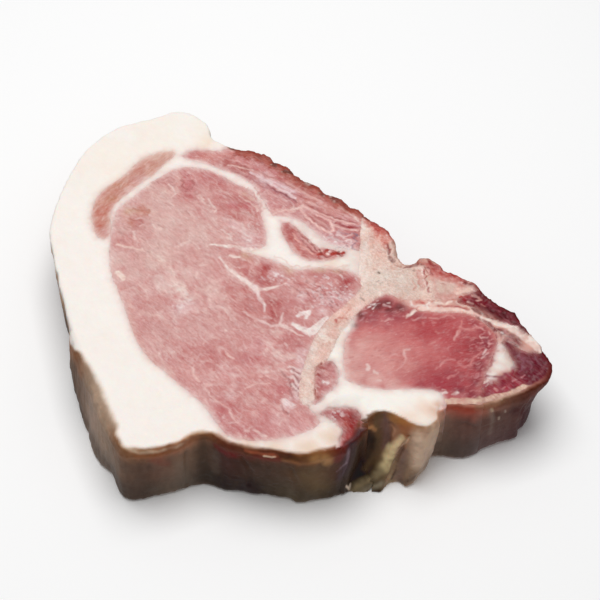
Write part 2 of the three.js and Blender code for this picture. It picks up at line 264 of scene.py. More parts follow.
def sample(field, points):
    """The field's value at each point's x and y."""
    spot = np.clip((points[:, :2] - FIELD_START) / FIELD_STEP, 0, FIELD_SIZE - 1.001)
    cell = spot.astype(int)
    part = spot - cell
    x, y = cell[:, 0], cell[:, 1]
    low = field[x, y] * (1 - part[:, 0]) + field[x + 1, y] * part[:, 0]
    high = field[x, y + 1] * (1 - part[:, 0]) + field[x + 1, y + 1] * part[:, 0]
    return low * (1 - part[:, 1]) + high * part[:, 1]


SECTIONS = {name: section(node, SECTION_HEIGHTS[0]) for name, node in NODES.items()}
UPPER = {name: distance_field(lines) for name, lines in SECTIONS.items()}
LOWER = {name: distance_field(section(node, SECTION_HEIGHTS[1])) for name, node in NODES.items()}
# How far inside each tissue a place is. Borders are upright, so both heights agree there.
INSIDE = {name: np.maximum(UPPER[name], LOWER[name]) for name in NODES}


def other_than(name):
    """The distance into the nearest of the other tissues: negative, and 0 at its outline."""
    return np.max([INSIDE[other] for other in NODES if other != name], axis=0)


OTHERS = {name: other_than(name) for name in NODES}


def outer_lines():
    """The stretches of all outlines that no other tissue lies against."""
    kept = []
    for name, lines in SECTIONS.items():
        middles = lines.mean(axis=1)
        kept.append(lines[sample(OTHERS[name], middles) < -FREE_LINE])
    return np.concatenate(kept)


# How far inside the chop's edge a place is. Past the edge it is 0.
OUTSIDE = np.max(list(UPPER.values()), axis=0) < -HAIR_GAP
TO_EDGE = np.where(OUTSIDE, 0, distance_field(outer_lines(), signed=False))


# ---------------------------------------------------------------- what the tissues are
KIND = {
    "back_fat": "fat", "inner_fat": "fat", "tenderloin_fat": "fat",
    "bone": "bone", "cartilage": "cartilage",
}  # and the others are muscle
# The direction of the flecks on the cut face, in degrees.
FIBRE_ANGLE = {"back_muscle": -38, "cap_muscle": 50, "tenderloin": 20}
LOIN_ANGLE = -46


def kind(name):
    return KIND.get(name, "muscle")


def fibre_angle(name):
    return FIBRE_ANGLE.get(name, LOIN_ANGLE)


# ---------------------------------------------------------------- meshes
def even_mesh(node):
    """The solid as a closed mesh of small, even faces."""
    rough = bpy.data.objects.new("rough", node.data.copy())
    bpy.context.collection.objects.link(rough)
    even = rough.modifiers.new("even", "REMESH")
    even.mode = "VOXEL"
    even.voxel_size = FACE_SIZE * MM
    shown = rough.evaluated_get(bpy.context.evaluated_depsgraph_get())
    mesh = bpy.data.meshes.new_from_object(shown)
    bpy.data.objects.remove(rough)
    return mesh


def points_of(mesh):
    flat = np.empty(len(mesh.vertices) * 3)
    mesh.vertices.foreach_get("co", flat)
    return flat.reshape(-1, 3) / MM


def normals_of(mesh):
    flat = np.empty(len(mesh.vertices) * 3, np.float32)
    mesh.vertex_normals.foreach_get("vector", flat)
    return flat.reshape(-1, 3).astype(float)


def move_points(mesh, points):
    mesh.vertices.foreach_set("co", (points * MM).ravel())
    mesh.update()


def evened(mesh):
    """Takes the steps out of the faces, by smoothing that doesn't shrink the shape."""
    edges = np.empty(len(mesh.edges) * 2, int)
    mesh.edges.foreach_get("vertices", edges)
    edges = edges.reshape(-1, 2)
    start = np.concatenate([edges[:, 0], edges[:, 1]])
    end = np.concatenate([edges[:, 1], edges[:, 0]])
    points = points_of(mesh)
    count = np.bincount(start, minlength=len(points))
    for pull in SMOOTHING:
        middle = [np.bincount(start, points[end, axis], len(points)) / count for axis in range(3)]
        points = points + pull * (np.stack(middle, axis=1) - points)
    move_points(mesh, points)


def refine_face(name, mesh):
    """Cuts the faces of the upper side and of the near side in four, but not in the plain middle of a fat."""
    places = points_of(mesh)
    detailed = (sample(OTHERS[name], places) > -FAT_DETAIL) | (kind(name) != "fat")
    at_edge = sample(TO_EDGE, places) < SIDE_DETAIL
    draft = bmesh.new()
    draft.from_mesh(mesh)
    draft.normal_update()
    lowest = (TOP - UPPER_LAYER) * MM
    edges = set()
    for face in draft.faces:
        corner = face.verts[0]
        upper = face.normal.z > UPWARD and corner.co.z > lowest and detailed[corner.index]
        if upper or (face.normal.y < -FORWARD and at_edge[corner.index]):
            edges.update(face.edges)
    bmesh.ops.subdivide_edges(draft, edges=list(edges), cuts=1, use_grid_fill=True)
    draft.to_mesh(mesh)
    draft.free()


class Skin:
    """A tissue's surface: its points and what is known of each one."""

    def __init__(self, name, mesh):
        self.name = name
        self.mesh = mesh
        self.points = points_of(mesh)
        self.normals = normals_of(mesh)
        out = self.normals[:, :2]
        self.out = out / np.maximum(np.linalg.norm(out, axis=1), 1e-6)[:, None]
        self.upright = smooth(0.25, 0.6, np.linalg.norm(out, axis=1))  # 1 on a side
        self.apart = -sample(OTHERS[name], self.points)  # from the nearest other tissue
        self.edge = sample(TO_EDGE, self.points)  # from the chop's edge
        self.drop = TOP - self.points[:, 2]
        self.face = smooth(0.3, 0.8, self.normals[:, 2])  # 1 on the cut face

    def shut_gap(self):
        """Leans the sides on the neighbours, so that no gap shows, and more so at the chop's edge."""
        touching = smooth(1.3, 0.6, self.apart) * self.upright
        beside = level(self.points)
        slope = np.stack([
            sample(OTHERS[self.name], beside + step) - sample(OTHERS[self.name], beside - step)
            for step in ([FIELD_STEP, 0, 0], [0, FIELD_STEP, 0])
        ], axis=1)
        toward = slope / np.maximum(np.linalg.norm(slope, axis=1), 1e-6)[:, None]
        corner = smooth(2.6, 1.2, self.edge)
        reach = HAIR_GAP / 2 + OVERLAP + CORNER_OVERLAP * corner
        self.points[:, :2] += toward * (touching * reach)[:, None]

    def level_borders(self):
        """Lifts the rounded rim between two tissues to the cut face. Past the gap's middle it dips again."""
        rim = smooth(1.3, 0.7, self.apart) * smooth(2.4, 1.6, self.drop)
        rim *= smooth(0.05, 0.2, self.normals[:, 2])
        beyond = HAIR_GAP / 2 + sample(OTHERS[self.name], self.points)
        target = sample(FACE_HEIGHT, self.points) - RIM_DIP * np.maximum(beyond, 0)
        lift = np.maximum(target - self.points[:, 2], 0)
        self.points[:, 2] += rim * lift * smooth(0.6, 1.4, self.edge)
        self.plain = self.points.copy()  # what is painted, before it gets its relief


def face_height(skins):
    """A grid of the cut face's height, carried over the grooves between the tissues."""
    total, count = np.zeros(FIELD_SIZE), np.zeros(FIELD_SIZE)
    for skin in skins:
        upper = (skin.normals[:, 2] > FACE_NORMAL) & (skin.drop < FACE_DEPTH)
        cells = ((skin.points[upper, :2] - FIELD_START) / FIELD_STEP + 0.5).astype(int)
        np.add.at(total, (cells[:, 0], cells[:, 1]), skin.points[upper, 2])
        np.add.at(count, (cells[:, 0], cells[:, 1]), 1)
    for _ in range(GROOVE_STEPS):
        spread_total, spread_count = total.copy(), count.copy()
        for axis, step in itertools.product((0, 1), (-1, 1)):
            spread_total += np.roll(total, step, axis)
            spread_count += np.roll(count, step, axis)
        total = np.where(count > 0, total, spread_total)
        count = np.where(count > 0, count, spread_count)
    return np.where(count > 0, total / np.maximum(count, 1), TOP)


# ---------------------------------------------------------------- relief
# Layers of noise are (strength, size, seed).
SWELL = [(0.12, 9, 3), (0.06, 4, 4)]  # the cut face's slow rise and fall
FIRM = [(0.05, 2.2, 10), (0.02, 0.8, 11)]
GRAIN = {  # and what each kind of tissue adds to it
    "muscle": [(0.07, (3.2, 1.1, 1), 6), (0.05, (1.6, 0.6, 1), 7)],
    "bone": [(0.1, 1.1, 8), (0.08, 0.6, 9)],
    "fat": FIRM,
    "cartilage": FIRM,
}
BUMPS = [(0.22, (4, 4, 6), 12), (0.14, (1.6, 1.6, 3), 13), (0.06, 0.9, 14)]  # of the side
CRAGS = [(1, (2.4, 2.4, 3.2), 15), (0.6, 1.2, 16)]  # of the torn edge
CRAG_RISE, CRAG_REACH = 0.45, 0.5  # up and outwards
RIPPLE = 0.2  # of all outlines, to the side
GROOVE = 0.05  # along the borders
SPINE = [(-12, 50), (4, 40), (16, 29), (26, 20), (31, 12), (34, 3), (46, 2), (55, -5), (66, -18)]  # sawn

# Folds of the side: (how far they lie in, width at the start, width at the end, blur, points of x, y and z).
FOLDS = [
    (0.5, 1.2, 2.6, 1.6, [(21.3, -57.1, 16.6), (22.5, -57, 13.3), (22.9, -57.9, 11.1), (22.1, -59.1, 8.6)]),
    (-0.5, 1.2, 1.2, 1.3, [(21.1, -57.9, 20.1), (23.1, -55.9, 17.8), (24.8, -56, 13.6), (23.8, -58.3, 10),
                           (21.4, -61, 6)]),
    (0.8, 0.5, 0.5, 0.7, [(33.2, -59.2, 18), (31.6, -59.6, 13), (30, -60.6, 8), (28, -63.4, 3)]),
    (0.6, 0.8, 0.8, 0.9, [(28.2, -56, 19), (27.8, -57.4, 14), (27, -59.4, 10)]),
    (0.7, 0.8, 1.6, 1.2, [(17.6, -63.4, 20), (17, -64.2, 13), (15.4, -65.6, 7)]),
    (-0.5, 2.0, 2.6, 1.6, [(36.2, -60.2, 17), (36.6, -61.6, 11), (36.2, -62.4, 6)]),
    (0.5, 0.8, 0.8, 1.2, [(-60, -38, 18), (-58.6, -43, 10), (-57, -48, 3)]),
    (0.4, 0.6, 0.8, 1.0, [(-53, -54, 19), (-52, -57, 11), (-52, -59, 4)]),
    (0.5, 0.8, 1.0, 1.2, [(-29, -64, 17), (-29.6, -64.6, 8), (-30, -65, 2)]),
    (0.3, 1.0, 1.6, 1.8, [(-24.4, -61.6, 20), (-25, -63, 11), (-25.4, -64.6, 2)]),
    (0.4, 0.6, 0.6, 1.0, [(-14, -66.2, 18), (-11, -67, 12), (-12, -67, 5)]),
    (0.4, 0.6, 0.8, 1.2, [(0, -69, 16), (2, -69, 9), (1, -69.2, 3)]),
    (0.35, 0.6, 0.6, 1.0, [(50, -52.6, 15), (56, -52.2, 12), (63, -50.4, 13)]),
    (0.4, 0.6, 0.8, 1.1, [(58.6, -50.8, 18), (59, -51.2, 11), (60, -51, 4)]),
    (0.4, 0.6, 0.8, 1.1, [(67, -47.6, 17), (66.4, -48, 10), (67, -48, 4)]),
]


def torn_edge(points):
    """1 along the sawn spine, where the edge is torn."""
    return smooth(9, 4, distance_to(points[:, :2], SPINE)[0])


def face_relief(skin, flat):
    """How far the cut face rises, with a slight groove along its borders."""
    along = turned(flat, fibre_angle(skin.name)) if kind(skin.name) == "muscle" else flat
    height = layered(flat, *SWELL) + layered(along, *GRAIN[kind(skin.name)])
    return height - GROOVE * smooth(0.9, 0.0, skin.apart)


def give_relief(skin):
    """The unevenness of cut flesh. Its ripple is the same for all tissues, so that they stay together."""
    place = skin.points.copy()
    flat = level(place)
    skin.points[:, :2] += RIPPLE * (drift(flat, 3.2, (1, 2)) + 0.5 * drift(flat, 1.4, (6, 7)))
    torn = torn_edge(place) * smooth(4.5, 1.0, skin.edge)
    crags = layered(place, *CRAGS)
    skin.points[:, 2] += skin.face * (face_relief(skin, flat) + torn * (CRAG_RISE * crags - 0.1))

    outward = layered(place, *BUMPS) + torn * (CRAG_REACH * crags + 0.05)
    for depth, start, end, blur, line in FOLDS:
        outward -= depth * stroke_weight(place, line, start, end, blur)
    free = smooth(0.7, 1.6, skin.apart) * skin.upright
    skin.points[:, :2] += skin.out * (free * outward)[:, None]
    skin.points = np.clip(skin.points, LOW, HIGH)


# ---------------------------------------------------------------- colours of the cut face
# Each tissue has a base colour and areas of other colours: (colour, strength, round spots of x, y and reach).
FACES = {
    "back_fat": ("F8EFE8", [
        ("F7EBE0", 0.7, [(-60, 45, 12), (-30, 62, 7), (-45, 60, 9)]),
        ("F0DCC8", 0.7, [(-28, 56, 3), (-12, 8, 3), (12, 3, 3)]),
        ("E8CDB8", 0.9, [(-12, -65.6, 3.4), (-4, -66.6, 3.6), (5, -66.6, 4.4), (-19, -63, 2.4),
                         (11, -62, 3)]),
        ("E3D5CB", 0.8, [(19, 3, 3), (17, 1.5, 2)]),
        ("F3DCD0", 0.6, [(-50, -8, 3), (-46, -22, 3), (-40, -33, 3)]),
    ]),
    "inner_fat": ("FAF2EA", [
        ("F2DCCD", 1.0, [(38, -53, 3.4), (34, -56, 4)]),
        ("DFBDA9", 0.9, [(41, -54, 2.6), (42, -51, 1.8)]),
        ("F1E0D6", 0.6, [(16, -28, 3), (10, -52, 3)]),
    ]),
    "tenderloin_fat": ("DDAA9E", [
        ("ECE3DD", 1.0, [(60.8, -34.6, 3), (59.6, -38, 3), (61.2, -31.4, 1.8), (62.8, -36.4, 2.2),
                         (57.8, -40, 2)]),
        ("702C34", 1.0, [(62.8, -25.6, 1.6), (66, -29, 1.8), (64.4, -27.6, 1.6), (63.4, -30, 1)]),
        ("923C46", 1.0, [(63.6, -41.4, 2), (60.4, -43.6, 1.8), (57, -45.6, 2), (66, -39.6, 1.8),
                         (63, -44, 2)]),
        ("D9A096", 0.8, [(46, -12.6, 2), (38, -13, 2), (51, -14.6, 1.6)]),
    ]),
    "bone": ("E3C3B6", [
        ("E4B2A4", 0.9, [(26, 12, 3.4), (27, 8, 2.6), (17, -15, 2.6)]),
        ("CC7A70", 0.95, [(28, 15.4, 2.6), (30.4, 13.6, 2.6), (29.6, 10.6, 1.4), (26, 16.6, 2)]),
        ("D8C3B7", 0.9, [(28, -3, 3.4), (33, -4, 4), (37, -7, 3), (25, -6, 4)]),
        ("D4B6AA", 0.7, [(36, -9, 2.4), (33, -8, 3)]),
        ("C27468", 0.9, [(38.8, 3.6, 1.6), (40, 2.6, 1.4)]),
        ("8A3C32", 0.9, [(38.2, 1.7, 1), (39.6, 1.5, 0.8)]),
        ("EECBC0", 0.9, [(20.6, -15, 2.6), (18, -18.4, 2.4), (14.8, -16.6, 2.6)]),
        ("E2B4A8", 0.7, [(15, -20, 2.4), (12.6, -25, 2), (10, -33, 2.4), (7, -40, 2.4)]),
        ("E7D5CC", 0.8, [(8.6, -25, 2.6), (6.4, -31, 2.4), (4.4, -37, 2), (4, -52, 2.4)]),
    ]),
    "cartilage": ("D09B92", [
        ("C87A74", 0.95, [(43.4, -1.6, 2.6), (46.4, -3.6, 2.4), (49.6, -5.4, 2), (51.6, -6.4, 1.4)]),
        ("B2504C", 1.0, [(43.6, 1, 1.7), (46, -1, 1.6), (48.6, -2.8, 1.5), (51.4, -4.4, 1.3),
                         (41.8, 2.6, 1.4)]),
        ("D9B2A2", 0.9, [(41, 4.4, 1.3), (43.4, 3.6, 1)]),
        ("D3B3A6", 1.0, [(44.6, -7.6, 2.4), (46.8, -8.4, 2.2), (48.8, -8.6, 1.8)]),
        ("7A2028", 1.0, [(52.8, -5.8, 1.1), (54.6, -6.6, 1.3), (56.6, -7.8, 1.4)]),
        ("E8BDAE", 1.0, [(51.4, -9.4, 1.3), (53.6, -8.9, 1.2)]),
    ]),
    "loin_eye": ("CE9894", [
        # the first area is a painted milky sheen over the upper left
        ("D8B2AB", 1.0, [(-40, 20, 12), (-45, 31, 8), (-41, 8, 10), (-53, 4, 5), (-30, 13, 8), (-52, 18, 5)]),
        ("DDBBB3", 1.0, [(-35, -7, 4.6), (-25, -8, 3.4), (-31, -12, 3.4), (-40, 4, 4)]),
        ("D5A9A3", 1.0, [(-26, 3, 5), (-20, 15, 5), (-50, -4, 4), (-46, -9, 4), (-21, -13, 4)]),
        ("D09F9A", 0.9, [(-42, -15, 7), (-38, -25, 8), (-28, -22, 8), (-20, -22, 6)]),
        ("C98B87", 0.9, [(-30, -37, 5), (-22, -34, 5), (-5, -28, 4), (-14, -42, 6), (-12, -54, 6),
                         (-5, -46, 6)]),
        ("C17B7B", 0.9, [(-20, -55, 4.6), (-16, -60, 3.6), (-11, -61.5, 2.6), (-3, -47, 2.6), (-12, -35, 3)]),
        ("D59F9D", 0.8, [(-10, -30, 3.4), (-17, -40, 3), (-5, -58, 4.6), (2, -59, 4)]),
        ("C68782", 0.9, [(-15, -11, 5), (-16, 1.5, 4), (-13, -16, 4)]),
        ("BA6C6A", 0.8, [(-9, -3.6, 3.4), (-13, -2, 2), (-16.5, 26, 2.4), (2.5, -6.6, 1.4),
                         (-20, 28.6, 2.4)]),
        ("B05C5A", 1.0, [(-5.2, -14, 3), (-5.4, -18, 2.6), (-8.6, -3.4, 3), (-8, 0, 2.2)]),
        ("C38280", 0.9, [(6, -14, 3), (12.5, -2, 3.6), (8, -3, 3), (0, -14, 3), (2, -30, 4), (1, -26, 3)]),
        ("AC5656", 1.0, [(17.6, -5, 2.8), (16, -8.4, 2.2)]),
        ("C48480", 0.95, [(-18, 27, 4), (-13.4, 23, 3.4), (-18.4, 22, 2.4), (-11, 18.6, 3), (-24, 36, 3)]),
        ("C27A7C", 0.9, [(-33.5, 36.6, 2.4), (-18.5, 27.7, 1.8), (-14.6, 26.6, 1.6)]),
        ("D2AA9A", 0.9, [(-15.7, 32.1, 1.5), (-13.4, 29.6, 1.2)]),
        ("C27F7E", 0.95, [(-34, 39.5, 2.6), (-33.6, 34.6, 2.8), (-32, 31.5, 2), (-27.6, 40, 3),
                          (-23.5, 38.6, 2.6)]),
        ("C28372", 0.8, [(-48, 24.4, 2), (-45.6, 23.4, 1.6), (-50.4, 19.6, 1.8)]),
        ("C98F89", 0.8, [(-53.4, 12, 2.2), (-48, 20, 2)]),
        ("C9A08C", 0.8, [(-51.6, 24, 1.8), (8, 0.4, 2.4), (14, -0.4, 2), (-1, 0, 2), (-14, 5, 2)]),
        # the next two areas are painted sheen about the painted glints
        ("E0BFBD", 0.9, [(-13.4, 12.4, 3), (-12, 9.6, 2.4), (-18, 18, 1.8), (-32, -14.6, 3.2),
                         (-17, -47.6, 1.6)]),
        ("DAB5B4", 0.9, [(12, -11.6, 3), (15.4, -11, 2.4), (3.4, -11.6, 2), (-4, -2.4, 1.8),
                         (-0.6, -51, 1.8), (9, -16, 2)]),
    ]),
    "back_muscle": ("C98E8C", [
        ("CE918A", 0.9, [(-27, 49, 5), (-21, 48.6, 4)]),
        ("CB9492", 0.8, [(-14, 40, 4), (-6, 30, 5)]),
        ("B87873", 0.9, [(-16.5, 43, 2.6), (-10.4, 37.6, 2), (0.4, 26.8, 2), (-21, 46, 2)]),
        ("C98D86", 0.9, [(6, 30, 3), (-2, 35, 3), (12, 25.4, 3)]),
        # painted sheen where the painted glints lie
        ("D7B0B0", 0.9, [(11, 12.6, 3), (14.6, 12, 3), (18, 10.6, 2.4), (7.6, 15.4, 2)]),
        ("DDB9BC", 0.9, [(-9, 38.6, 2), (-4, 35, 2), (0, 32, 1.6)]),
    ]),
    "cap_muscle": ("CC9A8C", [
        ("D8B5A6", 0.9, [(-44.6, 49, 4), (-40, 50.6, 3.4)]),
        ("C37C6E", 1.0, [(-60.4, 23, 3.4), (-61, 19, 2.4), (-59, 26, 2.4)]),
        ("C69278", 0.8, [(-56, 35.6, 2.6), (-57.6, 30, 2.4)]),
        ("D5ACA6", 0.8, [(-53, 33, 2.4), (-49, 38, 2.4), (-58, 15, 2.4)]),
    ]),
    "pocket_muscle": ("C88884", [
        ("B4605B", 1.0, [(-0.6, 13, 1.8), (1.6, 8.6, 2), (3.6, 6, 1.6), (-1.8, 17, 1.6)]),
        ("D09894", 0.9, [(3, 14.6, 1.6), (5, 11, 1.6)]),
        ("AC4E49", 0.9, [(9.6, 7, 1.3), (12.2, 8, 1.2), (15.8, 6.4, 1.4), (7.4, 5.4, 1)]),
    ]),
    "rib_muscle": ("BE7A7A", [
        ("9C4C48", 1.0, [(8, -37.4, 1.6), (11, -36, 1.6), (7, -41, 1.2), (7, -45, 1.2), (7.4, -49.4, 1.6)]),
        ("D0A09B", 0.8, [(10.6, -43, 1.8), (9.4, -40, 1.4)]),
    ]),
    "flank_muscle": ("A44646", [
        ("8A3F3D", 0.9, [(18.4, -55.6, 2.2), (19, -59, 2)]),
        # this area is a painted wet highlight
        ("B06466", 0.9, [(11.6, -54.4, 1.8), (14, -53, 1.4)]),
        ("B4625A", 0.8, [(15, -57.4, 1.6)]),
    ]),
    "tenderloin": ("BE6869", [
        ("DAA9A2", 1.0, [(17.6, -34, 5), (18, -41, 5), (24, -42.4, 4), (21, -30, 3.6), (29, -44, 3)]),
        ("D69A94", 1.0, [(25, -34, 5), (28, -38, 4)]),
        ("D08E89", 0.95, [(26, -28, 4.4), (33, -31, 4.6), (20.4, -26, 3), (34, -37, 4)]),
        ("CB7A78", 0.9, [(36, -28, 4.4), (39, -32, 4.6), (25, -23, 3)]),
        ("A03E47", 0.95, [(42, -43, 5), (46, -41, 4), (38, -45, 3)]),
        ("B05054", 0.95, [(40, -24, 5), (45, -20.6, 4), (50, -31, 5), (47, -26, 4), (37, -20, 3)]),
        ("A4545A", 0.95, [(30, -19.6, 3), (24, -19.4, 2.6), (37, -18.6, 2)]),
        ("74343A", 1.0, [(28, -13.4, 3), (25.6, -15, 2.8), (32.6, -15.4, 2.8), (21, -17.6, 2),
                         (18.6, -21, 1.6), (30, -16.6, 2)]),
        ("A0484E", 0.95, [(55, -20.6, 3), (56.6, -24.6, 2.6), (54, -29, 3)]),
        ("8C3842", 1.0, [(58, -29, 2.4), (57, -33.6, 2.4), (55, -38, 2.6), (54, -43, 3), (48, -45.6, 3),
                         (52, -47.6, 3)]),
    ]),
    "side_muscle": ("6C2F34", [
        ("4E1F26", 0.8, [(59.6, -15.8, 1.8), (63.4, -18.8, 1.8), (67.4, -22.6, 1.8), (70.4, -26, 1.4)]),
        # this area is a painted highlight along the outer edge
        ("86363C", 0.8, [(61.4, -13, 1), (65, -16, 1), (68.6, -20.4, 1.1)]),
        ("7E2A34", 0.9, [(54.6, -12.6, 1.8), (57, -13.4, 1.6)]),
        ("A63440", 0.8, [(52.4, -11.9, 1.1), (54, -11.4, 0.8)]),
    ]),
    "tip_muscle": ("70313A", [
        ("541F2A", 0.9, [(76, -35, 2.6), (73, -32, 1.8), (75.6, -39, 2.2), (69.6, -32, 1.4)]),
        ("A04A54", 1.0, [(58, -46, 2.6), (61.6, -45.4, 2.2), (65, -43, 2.2)]),
        # painted lilac sheen
        ("824C58", 0.7, [(66.8, -35.4, 1.3), (67.8, -38, 1.2)]),
        ("632A34", 0.8, [(70, -40.6, 2.4), (71.6, -36.4, 2)]),
    ]),
}

# Soft bands of another colour: (colour, strength, width, points).
BANDS = {
    "back_fat": [
        # flesh beside the thin seam
        ("CB908C", 0.9, 1.3, [(-14.6, 33.6), (-12, 30.6), (-10.6, 27.4), (-9.6, 24)]),
        ("CB908C", 0.9, 1.3, [(-11, 34), (-9, 30), (-7.2, 26), (-6, 24)]),
        ("E3CDC6", 0.9, 2.4, [(3, 18.6), (6.6, 14.4), (10, 10.8), (17, 8.6)]),
        ("E9D2C9", 0.9, 3.2, [(20.4, 9), (20.8, 4.4), (20.6, 0)]),
        ("E2C0B6", 0.8, 0.8, [(-6, 5.4), (0, 1.6), (6, 0.6), (12, 1.4), (17, 0.6)]),
    ],
    "loin_eye": [
        ("DDBBBA", 0.9, 2.6, [(3, -33), (3.4, -38), (2, -44), (1.6, -49)]),  # beside the bone
        ("E7CAC3", 0.7, 2.4, [(-19, -0.5), (-14, -5), (-10.5, -8)]),
        ("D9B5AE", 0.8, 2.6, [(-11, -21), (-8, -24), (-4, -25.6)]),
        ("E0C4BD", 0.8, 3.0, [(-41, -4), (-37, -8.6), (-32, -12)]),
        ("DDB9B3", 0.7, 2.2, [(-7, -29.6), (-4.4, -32.6), (-0.4, -34.6)]),
        ("DDB9B2", 0.8, 1.6, [(-29, -3), (-27, -6), (-23, -8.6), (-20, -11)]),
        ("E0C1B8", 0.7, 1.8, [(-41, 5), (-38, 0.6), (-35.6, -3.4)]),
        ("DDBCB5", 0.7, 1.6, [(-29.4, 31), (-28, 27.6), (-25.6, 24.6)]),
        ("E1C3BF", 0.8, 2.0, [(-20.4, 20.6), (-17.4, 18), (-14.6, 15)]),
        ("DFB9B1", 0.7, 1.6, [(-49, -13.6), (-46.6, -17), (-42, -17.6), (-38.6, -19.6)]),
        ("DAB1AA", 0.8, 1.6, [(-40, -28.4), (-36, -31.6), (-33, -32.4)]),
        ("D7ACA6", 0.8, 1.8, [(-12.6, -2.6), (-12, 0.4), (-11, 3)]),
        ("DCB2AD", 0.7, 1.6, [(-11, -37.4), (-8.6, -39.6), (-2.6, -39.6)]),
        ("DBB4AB", 0.8, 2.4, [(-38, 40), (-37.4, 36.4), (-37.4, 32.6), (-41, 34)]),
        ("D2A59D", 0.7, 2.6, [(-55.6, 1), (-50, -14.6), (-44.6, -30), (-35, -41)]),  # beside the back fat
        ("BE8482", 0.6, 1.6, [(-11.4, -10), (-13.6, -13), (-11, -17)]),
        ("C38683", 0.6, 1.8, [(-24.6, -31), (-18, -37), (-14, -41)]),
    ],
    "back_muscle": [
        ("B4736F", 0.8, 1.6, [(-22.4, 46), (-16, 43), (-11, 38.6)]),
        ("D6B0B2", 0.9, 2.8, [(-9.6, 39.4), (-6.4, 37.2), (-3.4, 34.8), (0, 32)]),  # silverskin
        ("B98488", 0.7, 1.6, [(-14, 39.4), (-9, 35.6), (-4, 31.4), (0, 28)]),
        ("DDB3AC", 0.8, 1.8, [(-6, 24.4), (-2, 24.2), (2.4, 25.6)]),
        ("BE7C7A", 0.8, 2.2, [(5.4, 22.4), (8.6, 19), (11.4, 17)]),
        ("D3A09B", 0.7, 1.4, [(-2, 37.4), (4, 32), (10, 27)]),
        ("DFC8C2", 0.9, 2.4, [(3.6, 17.8), (6.6, 14.8), (9.4, 12)]),
        ("98453D", 0.9, 2.6, [(-18, 50), (-13, 49), (-8, 46), (-3, 42), (0, 38.8), (4.4, 35)]),
        ("A0504A", 0.8, 2.0, [(4.4, 35), (8, 31.6), (11, 28.8), (14, 26.4)]),
        ("BD8078", 0.8, 1.8, [(-4, 40), (1, 36), (6, 31)]),
    ],
    "pocket_muscle": [("DDB6AE", 0.9, 1.0, [(-2.6, 19.4), (0.6, 18.4), (4.6, 13.6), (7.6, 9.8)])],
    "tenderloin": [
        ("E0BBB3", 0.6, 1.6, [(16, -28), (16, -42)]),
        ("A5474E", 0.6, 2.4, [(42, -46), (48, -42.6), (53, -40)]),
        ("C87C79", 0.7, 1.6, [(50.4, -23), (53, -24.4), (56, -23)]),
    ],
    # painted lilac sheen by the seam
    "side_muscle": [("9C6365", 0.7, 1.2, [(63.4, -20.4), (66.6, -23), (69.6, -27)])],
    "tenderloin_fat": [
        ("722C34", 0.95, 1.5, [(54.4, -15.6), (57, -17.4), (59.4, -19)]),
        ("7A3038", 0.95, 1.7, [(55.8, -20), (58.4, -22), (61, -24.4)]),
        ("6E2E38", 1.0, 2.6, [(63.8, -28.6), (65.4, -31.6), (67, -35), (67.4, -38.4), (66.4, -41)]),
        ("9A4450", 1.0, 2.2, [(55.4, -44.2), (58.6, -43.4), (61.6, -42.2), (64.4, -40)]),
        ("9C464C", 0.95, 1.3, [(60.5, -25.6), (59.2, -31), (57, -38), (55, -43.6)]),
        # painted lilac sheen at the tip's edge
        ("A47480", 0.6, 0.9, [(64.9, -34), (65.6, -36.4), (64.6, -38.6)]),
    ],
    "bone": [
        ("EBD6CC", 0.95, 3.0, [(22.4, 22), (22.6, 14), (22.4, 7.6), (22.2, 2.3), (21.4, -6)]),  # pale strip
        ("BE5A52", 0.95, 3.2, [(24.2, 19.6), (26, 17.8), (27.5, 16.5), (29.4, 15)]),
        ("CC857B", 0.8, 1.6, [(29.3, 14.4), (29.4, 12.2), (29.4, 9)]),
        ("D9C0B5", 0.9, 1.2, [(31.2, 10.4), (31.7, 8), (32.3, 4.8), (33.6, 2.7)]),
        ("D29A92", 0.8, 1.5, [(39, -1.4), (39.2, -4.6), (39.4, -8)]),
    ],
}

# The membrane's edge under tenderloin and tip, and the pale fat between the tenderloin and the dark band.
LIP = [(42.5, -50), (48, -50.3), (54, -49.8), (60, -48.4), (63.4, -47), (66.4, -44.8), (70.6, -44.6),
       (74, -42.2)]
SEAM = [(56.6, -19.4), (59.6, -20.6), (62, -21.6), (64.6, -23), (67.6, -25.3), (70.4, -28), (72.8, -30.2)]

